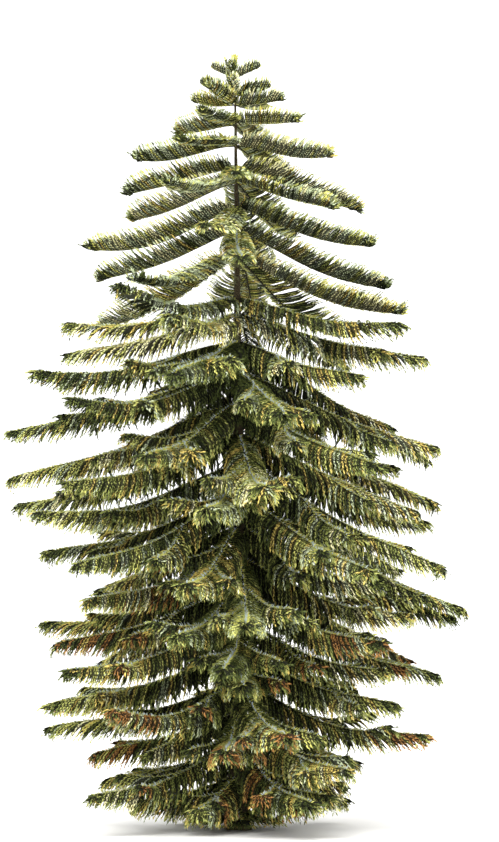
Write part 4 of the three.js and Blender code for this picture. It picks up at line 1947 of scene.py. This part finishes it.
@dataclass(frozen=True)
class Studio:
    """A plain pale floor, soft light and the camera at the picture's viewing angle.

    Attributes:
        height: The tree's height.
        image: The picture's width and height in pixels.
        foot_pixel: Where the trunk's foot lies in the picture.
        tip_pixel: Where the trunk's tip lies in the picture.
        eye_height: The camera's height above the ground.
        distance: How far the camera stands from the trunk.
        sensor: The width of the camera's sensor, in millimetres.
        floor_radius: The floor's radius.
        floor_sides: How many sides its edge has.
        floor_colour: Its display colour.
        floor_roughness: How dull it is.
        sun_angle: How wide the soft key light is, in degrees.
        sun_strength: How strong it is.
        sun_from: Where it stands, as a direction from the tree.
        sky_strength: How strong the even light is.
    """

    height: float
    image: tuple[int, int] = (499, 842)
    foot_pixel: Span = (238, 828)
    tip_pixel: Span = (235, 54)
    eye_height: float = 3.0
    distance: float = 42.0
    sensor: float = 36
    floor_radius: float = 90.0
    floor_sides: int = 96
    floor_colour: Colour = (243, 242, 239)
    floor_roughness: float = 0.9
    sun_angle: float = 45
    sun_strength: float = 3.35
    sun_from: tuple[float, float, float] = (-0.22, -0.72, 1.0)
    sky_strength: float = 1.6

    def build(self) -> None:
        """Build the floor, the lights and the camera."""
        self._floor()
        self._lights()
        self._camera()

    def _floor(self) -> None:
        """Lay the floor."""
        bpy.ops.mesh.primitive_circle_add(
            vertices=self.floor_sides, radius=self.floor_radius, fill_type="NGON"
        )
        floor = bpy.context.object
        floor.name = "floor"
        material, shader = new_material("floor")
        shader.inputs["Base Color"].default_value = linear(self.floor_colour)
        shader.inputs["Roughness"].default_value = self.floor_roughness
        floor.data.materials.append(material)

    def _lights(self) -> None:
        """Set the even light and the soft key light."""
        scene = bpy.context.scene
        world = bpy.data.worlds.new("soft_white")
        world.use_nodes = True
        sky = world.node_tree.nodes["Background"]
        sky.inputs["Color"].default_value = (1, 1, 1, 1)
        sky.inputs["Strength"].default_value = self.sky_strength
        scene.world = world
        lamp = bpy.data.lights.new("key", "SUN")
        lamp.energy = self.sun_strength
        lamp.angle = math.radians(self.sun_angle)
        key = bpy.data.objects.new("key", lamp)
        key.rotation_euler = Vector(self.sun_from).to_track_quat("Z", "Y").to_euler()
        scene.collection.objects.link(key)
        scene.view_settings.view_transform = "Standard"

    def _camera(self) -> None:
        """Stand the camera so that the trunk's foot and tip fall on their pixels."""
        data = bpy.data.cameras.new("camera")
        wide, high = self.image
        scale = self.height / (self.foot_pixel[1] - self.tip_pixel[1])
        data.sensor_width = self.sensor
        data.lens = self.sensor * self.distance / (high * scale)
        middle_x = (wide / 2 - self.foot_pixel[0]) * scale
        middle_z = (self.foot_pixel[1] - high / 2) * scale
        camera = bpy.data.objects.new("camera", data)
        camera.location = (middle_x, -self.distance, self.eye_height)
        tilt = math.atan2(middle_z - self.eye_height, self.distance)
        camera.rotation_euler = (math.pi / 2 + tilt, 0, 0)
        bpy.context.scene.collection.objects.link(camera)
        bpy.context.scene.camera = camera


def main() -> None:
    """Build every piece in order and report it."""
    logging.basicConfig(level=logging.INFO, format="%(name)s: %(message)s")
    crown = Crown()
    boughs = crown.grow()
    LOG.info("grew %d boughs, side boughs and twigs", len(boughs))
    weather = BarkWeather()
    trunk = Trunk(crown.stem, crown.levels())
    trunk_piece = trunk.build()
    trunk.dress(trunk_piece, TRUNK_FINISH.material("trunk_bark", weather))
    wood = BoughWood(boughs)
    wood_piece = wood.build()
    wood.dress(wood_piece, BOUGH_FINISH.material("bough_bark", weather))
    finishes = {tint: finish.material(f"needles_{tint.value}") for tint, finish in NEEDLE_FINISHES.items()}
    scatter = Scatter()
    foliage = Foliage(boughs)
    sprays = foliage.build(scatter, finishes)
    foliage.dress(sprays)
    ridges = RidgeNeedles(boughs, crown.stem)
    needles = ridges.build(scatter, finishes)
    ridges.dress(needles)
    total = 0
    for piece in (trunk_piece, wood_piece, *sprays, *needles):
        piece.data.calc_loop_triangles()
        total += len(piece.data.loop_triangles)
        LOG.info("%s: %d triangles", piece.name, len(piece.data.loop_triangles))
    LOG.info("%d triangles in all", total)
    Studio(height=crown.stem.height).build()


if __name__ == "__main__":
    main()
